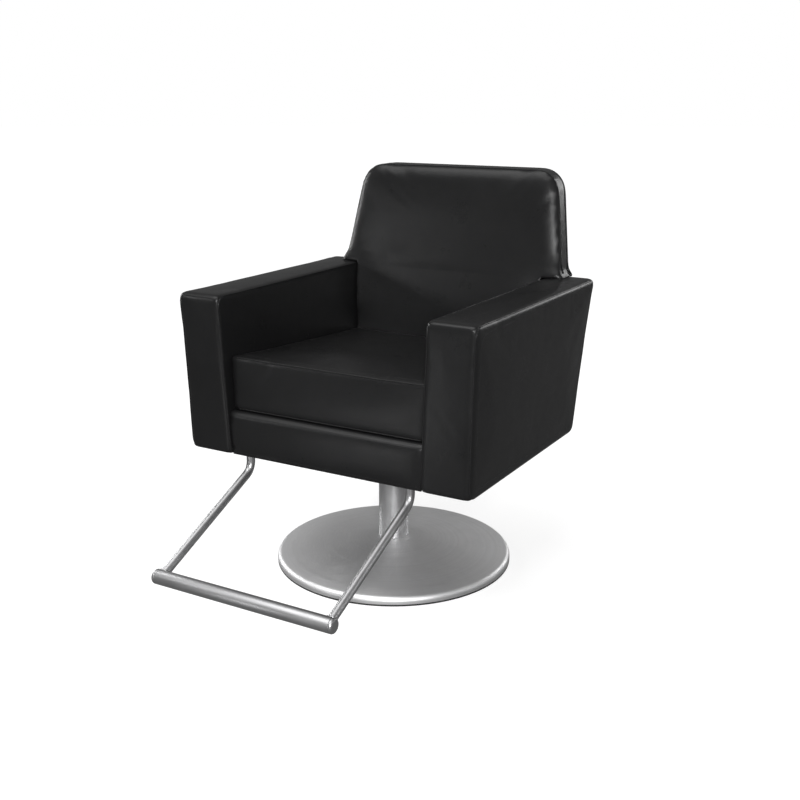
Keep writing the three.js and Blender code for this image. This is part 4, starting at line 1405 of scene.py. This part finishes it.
class CHAIR_OT_dust_cover(bpy.types.Operator):
    """Cloth stapled under the seat, cut out round the mounting plate and the footrest's tubes"""

    bl_idname = "chair.dust_cover"
    bl_label = "Dust cover"

    def execute(self, context):
        low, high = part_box("underside_lining")
        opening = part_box("mounting_plate")[1].x + 0.002
        openings = [(-opening, opening, -opening, opening)]
        margin = 0.0012
        for side, _ in SIDES:
            near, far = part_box(f"footrest_tube_{side}")
            front = far.y - 2 * ((far.x - near.x) / 2)
            openings.append((near.x - margin, far.x + margin, front - margin, far.y + margin))
        form = bmesh.new()
        corners = ((low.x, low.y), (high.x, low.y), (high.x, high.y), (low.x, high.y))
        form.faces.new([form.verts.new((x, y, high.z - 0.0004)) for x, y in corners])
        sliced(form, 0, {place for hole in openings for place in hole[:2]})
        sliced(form, 1, {place for hole in openings for place in hole[2:]})
        sliced(form, 0, steps_between(low.x, high.x, 0.012))
        sliced(form, 1, steps_between(low.y, high.y, 0.012))

        def cut(x, y):
            return any(x0 < x < x1 and y0 < y < y1 for x0, x1, y0, y1 in openings)

        gone = [face for face in form.faces if cut(*face.calc_center_median().xy)]
        bmesh.ops.delete(form, geom=gone, context="FACES")
        area = sum(face.calc_area() for face in form.faces)
        for vertex in form.verts:
            x, y, _ = vertex.co
            inward = min(x - low.x, high.x - x, y - low.y, high.y - y)
            slack = min(1.0, inward / 0.03)
            wave = 0.5 + 0.5 * math.sin(x * 41 + 1.3 * math.sin(y * 23)) * math.cos(y * 37 + x * 11)
            vertex.co.z -= 0.0011 * slack * wave
        outward(form)
        bmesh.ops.solidify(form, geom=form.faces[:], thickness=0.0006)
        piece = finished("dust_cover", outward(form), "lining", "seat")
        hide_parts("underside_lining")
        staples = self.staples(low, high, opening)
        return {"FINISHED"}

    def staples(self, low, high, opening):
        """Wire staples along the cloth's edges."""
        inset, pitch = 0.006, 0.036
        edges = [
            ((low.x + inset, low.y + inset), (high.x - inset, low.y + inset)),
            ((low.x + inset, high.y - inset), (high.x - inset, high.y - inset)),
            ((low.x + inset, low.y + inset), (low.x + inset, high.y - inset)),
            ((high.x - inset, low.y + inset), (high.x - inset, high.y - inset)),
            ((-opening - inset, -opening), (-opening - inset, opening)),
            ((opening + inset, -opening), (opening + inset, opening)),
        ]
        form = bmesh.new()
        for start, end in edges:
            start, end = Vector(start), Vector(end)
            span = end - start
            count = int(span.length / pitch)
            for index in range(count):
                spot = start + span * (index + 0.5) / count
                turn = Matrix.Rotation(math.atan2(span.y, span.x), 4, "Z")
                size = Matrix.Diagonal((0.010, 0.0009, 0.0007, 1.0))
                move = Matrix.Translation((spot.x, spot.y, high.z - 0.0013))
                bmesh.ops.create_cube(form, size=1.0, matrix=move @ turn @ size)
        return finished("dust_cover_staples", form, "zinc_steel", "seat")


# ---------------------------------------------------------------- base and column


class CHAIR_OT_base(bpy.types.Operator):
    """Round base: pressed cover and rubber floor ring"""

    bl_idname = "chair.base"
    bl_label = "Base"

    def execute(self, context):
        sizes = settings().base
        low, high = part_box("base_cover")
        neck = COLUMN_RADIUS + 0.0003
        wall = sizes.wall
        outer = rounded(
            [
                (BASE_RADIUS, low.z, 0.0),
                (BASE_RADIUS, sizes.rim_height, sizes.rim_round),
                (neck, high.z, 0.0006),
                (neck, high.z - wall, 0.0),
                (BASE_RADIUS - sizes.rim_round, sizes.rim_height - wall, 0.0),
                (BASE_RADIUS - wall, sizes.rim_height - sizes.rim_round, 0.0),
                (BASE_RADIUS - wall, low.z, 0.0),
            ],
            8,
        )
        piece = finished("base_shell", spun(outer, 144), "spun_steel", "base")
        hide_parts("base_cover")

        low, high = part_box("base_trim_ring")
        inner = BASE_RADIUS - sizes.trim_width
        radii = (0.0005, 0.0014, 0.0008, 0.0)
        ring = rectangle((inner, low.z), (BASE_RADIUS, high.z), radii, 4)
        piece = finished("floor_ring", spun(ring, 144), "rubber", "base")
        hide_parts("base_trim_ring")
        return {"FINISHED"}


def lever_direction():
    """The way the pump lever points, and the way its pin lies."""
    turn = settings().base.lever_turn
    sine, cosine = math.sin(turn), math.cos(turn)
    return Vector((-sine, cosine, 0.0)), Vector((cosine, sine, 0.0))


class CHAIR_OT_column(bpy.types.Operator):
    """Column sleeve, ram and swivel hub"""

    bl_idname = "chair.column"
    bl_label = "Column"

    def execute(self, context):
        self.sleeve()
        low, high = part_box("ram")
        radius = high.x
        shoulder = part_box("bearing_race_lower")[0].z - 0.0003
        spigot = radius - 0.007
        outline = rounded(
            [
                (0.0, low.z, 0.0),
                (radius, low.z, 0.0008),
                (radius, shoulder, 0.0008),
                (spigot, shoulder, 0.0006),
                (spigot, high.z, 0.001),
                (0.0, high.z, 0.0),
            ],
            3,
        )
        form = spun(outline, 64, closed=False)
        piece = finished("ram_rod", form, "polished_steel", "ram")
        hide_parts("ram")

        low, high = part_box("swivel_hub")
        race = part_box("bearing_race_upper")
        deck_foot = race[1].z + 0.0003
        deck_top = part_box("retaining_ring")[0].z - 0.0003
        well = race[1].x + 0.0005
        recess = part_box("retaining_ring")[1].x + 0.0008
        outline = rounded(
            [
                (well, low.z, 0.0005),
                (high.x, low.z, 0.0015),
                (high.x, high.z, 0.001),
                (recess, high.z, 0.0005),
                (recess, deck_top, 0.0),
                (spigot + 0.0005, deck_top, 0.0003),
                (spigot + 0.0005, deck_foot, 0.0003),
                (well, deck_foot, 0.0),
            ],
            4,
        )
        piece = finished("hub_housing", spun(outline, 64), "painted_iron", "seat")
        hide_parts("swivel_hub")
        return {"FINISHED"}

    def sleeve(self):
        """The column's sleeve, with the window that the plunger goes through."""
        low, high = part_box("column_sleeve")
        inner = COLUMN_RADIUS - settings().base.sleeve_wall
        radii = (0.0, 0.0, 0.0012, 0.0008)
        outline = rectangle((inner, low.z), (COLUMN_RADIUS, high.z), radii, 4)
        holder = linked("sleeve", mesh_from(spun(outline, 96), "sleeve"))
        ahead, _ = lever_direction()
        height = centre("pump_plunger")[2]
        turn = ahead.to_track_quat("Z", "Y").to_matrix().to_4x4()
        matrix = Matrix.Translation(ahead * COLUMN_RADIUS + Vector((0, 0, height))) @ turn
        hole = rod(32, 0.0072, 0.03)
        bmesh.ops.transform(hole, matrix=matrix, verts=hole.verts)
        cutter = linked("window", mesh_from(hole, "window"))
        window = holder.modifiers.new("window", "BOOLEAN")
        window.operation = "DIFFERENCE"
        window.solver = "EXACT"
        window.object = cutter
        shaped = bpy.data.meshes.new_from_object(evaluated(holder))
        bpy.data.objects.remove(holder)
        bpy.data.objects.remove(cutter)
        piece = piece_of("column_tube", shaped, "column_steel", "base")
        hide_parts("column_sleeve")


class CHAIR_OT_pump(bpy.types.Operator):
    """Plunger spring and the ribbed pad of the pedal"""

    bl_idname = "chair.pump"
    bl_label = "Pump details"

    def execute(self, context):
        sizes = settings().base
        ahead, across = lever_direction()
        up = Vector((0, 0, centre("pump_plunger")[2]))
        guide = 0.006
        wire = 2 * sizes.spring_wire
        head = COLUMN_RADIUS + 0.020
        start = COLUMN_RADIUS + guide + wire
        radius = guide + wire
        turns = sizes.spring_turns
        count = round(turns * 24)
        path = []
        for step in range(count + 1):
            angle = math.tau * turns * step / count
            along = start + (head - start - wire) * step / count
            around = across * math.cos(angle) * radius + Vector((0, 0, math.sin(angle) * radius))
            path.append(ahead * along + around + up)
        form = tube(path, sizes.spring_wire, sides=2)
        piece = finished("plunger_coil", form, "zinc_steel", "base", sharp=SMOOTH)
        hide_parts("plunger_spring")
        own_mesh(piece)
        self.pedal(ahead, across)
        return {"FINISHED"}

    def pedal(self, ahead, across):
        """Rubber pad with raised ribs across it."""
        low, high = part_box("pedal_pad")
        x, y, _ = centre("pedal_pad")
        reach = Vector((x, y, 0.0)).dot(ahead)
        half_length, half_width, thickness = 0.0270, 0.0310, high.z - low.z
        corner = (half_width, half_length)
        outline = rectangle((-half_width, -half_length), corner, (0.006,) * 4, 6)
        form = reshaped(plate(outline, thickness - 0.0014), lambda x, y, z: (x, z, y))
        bevelled(form, 0.001, segments=2, least=math.radians(60))
        ribs, pitch = 7, 0.0068
        for index in range(ribs):
            rib = bmesh.new()
            bmesh.ops.create_cube(rib, size=1.0)
            bmesh.ops.scale(rib, verts=rib.verts, vec=(0.050, 0.0034, 0.0028))
            bevelled(rib, 0.0008, segments=2)
            shift = (0.0, (index - ribs // 2) * pitch, thickness - 0.0016)
            joined(form, moved(rib, shift))
        turn = Matrix((across, ahead, Vector((0, 0, 1)))).transposed().to_4x4()
        move = Matrix.Translation(ahead * reach + Vector((0, 0, low.z)))
        bmesh.ops.transform(form, matrix=move @ turn, verts=form.verts)
        piece = finished("pedal_cover", form, "rubber", "lever")
        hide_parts("pedal_pad")


class CHAIR_OT_seat_plate_bolts(bpy.types.Operator):
    """Hexagon bolts with washers under the seat plate"""

    bl_idname = "chair.seat_plate_bolts"
    bl_label = "Seat plate bolts"

    def execute(self, context):
        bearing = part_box("mounting_plate")[0].z
        washer_room, washer_thickness, shank_radius = 0.0012, 0.0011, 0.004
        for index in range(1, 5):
            node = f"plate_bolt_{index}"
            low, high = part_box(node)
            x, y, _ = centre(node)
            radius = (high.x - low.x) / 2
            head = bearing - washer_room - low.z
            form = bevelled(rod(6, radius * 0.97, head), 0.0005, segments=2)
            moved(form, (x, y, low.z + head / 2))
            rim = (radius * 1.25, washer_thickness)
            washer = rectangle((shank_radius, 0.0), rim, (0.0, 0.0003, 0.0003, 0.0), 2)
            joined(form, moved(spun(washer, 32), (x, y, bearing - washer_room)))
            foot = bearing - 0.001
            shank = [(0.0, foot), (shank_radius, foot), (shank_radius, high.z), (0.0, high.z)]
            joined(form, moved(spun(shank, 24, closed=False), (x, y, 0.0)))
            name = f"seat_plate_bolt_{index}"
            piece = finished(name, form, "zinc_steel", "seat")
            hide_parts(node)
        return {"FINISHED"}


# ---------------------------------------------------------------- footrest


class CHAIR_OT_footrest(bpy.types.Operator):
    """Bent tubes, the bar across them, its end caps and the welds"""

    bl_idname = "chair.footrest"
    bl_label = "Footrest"

    def execute(self, context):
        sizes = settings().footrest
        low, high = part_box("foot_bar")
        _, y, z = centre("foot_bar")
        bar = (y, z, (high.z - low.z) / 2)
        for side, sign in SIDES:
            self.post(side, bar)
            self.cap(side, sign, bar)
        radii = (0.0, 0.0006, 0.0006, 0.0)
        outline = rectangle((bar[2] - sizes.wall, low.x), (bar[2], high.x), radii, 2)
        form = moved(spun(outline, 64), (0.0, y, z), math.pi / 2, "Y")
        piece = finished("foot_bar_tube", form, "bar_steel", "seat")
        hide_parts("foot_bar")
        return {"FINISHED"}

    def post(self, side, bar):
        """A bent tube from the seat's frame down to the bar. `bar` is its y, z and radius."""
        sizes = settings().footrest
        bar_y, bar_z, bar_radius = bar
        low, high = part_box(f"footrest_tube_{side}")
        x = centre(f"footrest_tube_{side}")[0]
        radius = (high.x - low.x) / 2
        post_y = high.y - radius
        bend_z = FOOT - sizes.bend_drop
        down = Vector((bar_y - post_y, bar_z - bend_z)).normalized()
        end = Vector((bar_y, bar_z)) - down * (bar_radius - 0.003)
        corners = [(post_y, high.z, 0.0), (post_y, bend_z, sizes.bend_radius), (*end, 0.0)]
        form = tube([Vector((x, y, z)) for y, z in rounded(corners, 14)], radius, sides=6)
        piece = finished(f"footrest_post_{side}", form, "tube_steel", "seat")
        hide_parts(f"footrest_tube_{side}")
        self.weld(side, x, bar, down, radius)

    def weld(self, side, x, bar, down, radius):
        """A weld bead where a tube meets the bar."""
        bar_y, bar_z, bar_radius = bar
        along = Vector((0.0, down.x, down.y))
        aside = Vector((1.0, 0.0, 0.0))
        third = along.cross(aside).normalized()
        path = []
        steps = 40
        for step in range(steps):
            angle = math.tau * step / steps
            reach = radius + 0.0006 + 0.0002 * math.sin(angle * 17)
            local = aside * math.cos(angle) * reach + third * math.sin(angle) * reach
            depth = math.sqrt(max(bar_radius**2 - local.dot(third) ** 2, 0.0))
            path.append(Vector((x, bar_y, bar_z)) + local - along * depth)
        form = tube(path, 0.0016, closed=True, sides=2)
        name = f"footrest_weld_{side}"
        finished(name, form, "tube_steel", "seat", sharp=SMOOTH)

    def cap(self, side, sign, bar):
        """A domed cap that plugs the bar's end."""
        sizes = settings().footrest
        bar_y, bar_z, bar_radius = bar
        node = f"foot_bar_cap_{side}"
        low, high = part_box(node)
        face = (high.x if sign > 0 else -low.x) - sizes.cap
        plug, depth, seat = bar_radius - sizes.wall - 0.0003, -0.014, 0.0003
        outline = rounded(
            [
                (0.0, depth, 0.0),
                (plug, depth, 0.001),
                (plug, seat, 0.0),
                (bar_radius, seat, 0.0005),
                (bar_radius, sizes.cap, 0.0055),
                (0.0, sizes.cap, 0.0),
            ],
            6,
        )
        form = spun(outline, 64, closed=False)
        moved(form, (sign * face, bar_y, bar_z), sign * math.pi / 2, "Y")
        piece = finished(f"bar_end_{side}", outward(form), "bar_steel", "seat")
        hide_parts(node)


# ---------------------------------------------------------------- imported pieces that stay


class CHAIR_OT_hidden_parts(bpy.types.Operator):
    """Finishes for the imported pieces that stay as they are"""

    bl_idname = "chair.hidden_parts"
    bl_label = "Frame and mechanism"

    def execute(self, context):
        slots = {part["node"]: part["material_slot"] for part in frame["record"]["subparts"]}
        for node, item in frame["nodes"].items():
            if item.hide_render:
                continue
            slot = slots[node]
            made = FINISHES[SLOT_FINISH.get(slot, slot)]()
            if not item.material_slots:
                item.data.materials.append(made)
            for holder in item.material_slots:
                holder.material = made
        return {"FINISHED"}


# ---------------------------------------------------------------- studio


# Soft rectangular lights: where they are, what they point at, width, height and power in watts.
LIGHTS = {
    "key": ((1.45, -2.35, 1.25), (0.0, 0.0, 0.6), 0.30, 0.42, 58.0),
    "right_strip": ((3.0, 0.9, 1.2), (0.0, 0.1, 0.6), 0.4, 1.5, 6.0),
    "rear_fill": ((1.2, 3.4, 1.5), (0.0, 0.2, 0.6), 1.3, 1.3, 22.0),
    "left_strip": ((-3.0, 0.2, 1.2), (0.0, 0.2, 0.7), 0.4, 1.4, 26.0),
    "left_glint": ((-1.29, -1.43, 0.94), (-0.24, 0.25, 0.70), 0.2, 0.2, 2.4),
    "low_glint": ((-0.39, -1.30, 0.11), (0.20, -0.30, 0.385), 0.12, 0.12, 0.7),
}


class CHAIR_OT_stage(bpy.types.Operator):
    """Camera, floor and soft lights"""

    bl_idname = "chair.stage"
    bl_label = "Studio"

    def execute(self, context):
        scene = context.scene
        scene.view_settings.view_transform = "Standard"
        data = bpy.data.cameras.new("camera")
        data.sensor_width = 36.0
        data.lens = 49.3
        camera = linked("camera", data)
        camera.location = (1.2280, -2.0926, 1.0795)
        camera.rotation_euler = (math.radians(90 - 15.97), 0.0, math.radians(30.06))
        scene.camera = camera
        self.floor()
        self.surroundings(scene)
        for name, (spot, aim, width, height, power) in LIGHTS.items():
            data = bpy.data.lights.new(name, "AREA")
            data.shape = "RECTANGLE"
            data.size = width
            data.size_y = height
            data.energy = power
            lamp = linked(name, data)
            lamp.location = spot
            lamp.rotation_euler = (Vector(aim) - Vector(spot)).to_track_quat("-Z", "Y").to_euler()
        sun = bpy.data.lights.new("overhead", "SUN")
        sun.energy = 1.9
        sun.angle = math.radians(50)
        lamp = linked("overhead", sun)
        lamp.rotation_euler = (math.radians(18), math.radians(-12), 0.0)
        return {"FINISHED"}

    def floor(self):
        """A wide pale disc, brighter to the camera than to the lamps."""
        form = bmesh.new()
        bmesh.ops.create_circle(form, cap_ends=True, cap_tris=False, segments=96, radius=30.0)
        mesh = mesh_from(moved(form, (0.0, 0.0, -0.0002)), "studio_floor")
        material = bpy.data.materials.new("Studio Floor")
        tree = cleared(material)
        output = place(tree, "ShaderNodeOutputMaterial")
        colour = (*settings().looks.floor, 1.0)
        lit = place(tree, "ShaderNodeBsdfDiffuse", {"Color": colour})
        glow = place(tree, "ShaderNodeEmission", {"Color": (1.0, 1.0, 1.0, 1.0), "Strength": 0.72})
        seen = place(tree, "ShaderNodeAddShader", {0: lit.outputs[0], 1: glow.outputs[0]})
        dim = place(tree, "ShaderNodeBsdfDiffuse", {"Color": (0.16, 0.16, 0.16, 1.0)})
        self.shown(tree, output, dim, seen)
        mesh.materials.append(material)
        linked("studio_floor", mesh)

    def surroundings(self, scene):
        """A white room for the eye, and a dim one for reflections."""
        world = bpy.data.worlds.new("studio")
        tree = cleared(world)
        output = place(tree, "ShaderNodeOutputWorld")
        white, dim = (
            place(tree, "ShaderNodeBackground", {"Color": (1, 1, 1, 1), "Strength": strength})
            for strength in (1.0, 0.20)
        )
        self.shown(tree, output, dim, white)
        scene.world = world

    def shown(self, tree, output, hidden, seen):
        """Shows one shader to the camera and another to every other ray."""
        rays = place(tree, "ShaderNodeLightPath")
        inputs = {0: rays.outputs["Is Camera Ray"], 1: hidden.outputs[0], 2: seen.outputs[0]}
        both = place(tree, "ShaderNodeMixShader", inputs)
        tree.links.new(both.outputs[0], output.inputs["Surface"])


# ---------------------------------------------------------------- sidebar and registration

STEPS = (
    CHAIR_OT_stage,
    CHAIR_OT_base,
    CHAIR_OT_column,
    CHAIR_OT_pump,
    CHAIR_OT_seat_plate_bolts,
    CHAIR_OT_footrest,
    CHAIR_OT_arms,
    CHAIR_OT_cushion,
    CHAIR_OT_apron,
    CHAIR_OT_backrest,
    CHAIR_OT_dust_cover,
    CHAIR_OT_hidden_parts,
)
GROUPS = (ArmSizes, CushionSizes, BackSizes, BaseSizes, FootrestSizes, SeamSizes, Looks, StylingChair)


class CHAIR_PT_panel(bpy.types.Panel):
    """The chair's sizes, colours and building steps"""

    bl_label = "Styling Chair"
    bl_idname = "CHAIR_PT_panel"
    bl_space_type = "VIEW_3D"
    bl_region_type = "UI"
    bl_category = "Styling Chair"

    def draw(self, context):
        chair = context.scene.styling_chair
        for label in ("arm", "cushion", "back", "base", "footrest", "seam", "looks"):
            box = self.layout.box()
            box.label(text=label.capitalize())
            sizes = getattr(chair, label)
            for name in sizes.__annotations__:
                box.prop(sizes, name)
        for step in STEPS:
            self.layout.operator(step.bl_idname)


CLASSES = (*GROUPS, *STEPS, CHAIR_PT_panel)


def register():
    """Registers the classes and the scene's settings."""
    for item in CLASSES:
        bpy.utils.register_class(item)
    bpy.types.Scene.styling_chair = bpy.props.PointerProperty(type=StylingChair)


def unregister():
    """Removes the scene's settings and the classes."""
    del bpy.types.Scene.styling_chair
    for item in reversed(CLASSES):
        bpy.utils.unregister_class(item)


def main():
    """Builds the chair and its studio."""
    register()
    for step in STEPS:
        kind, action = step.bl_idname.split(".")
        getattr(getattr(bpy.ops, kind), action)()


if __name__ == "__main__":
    main()
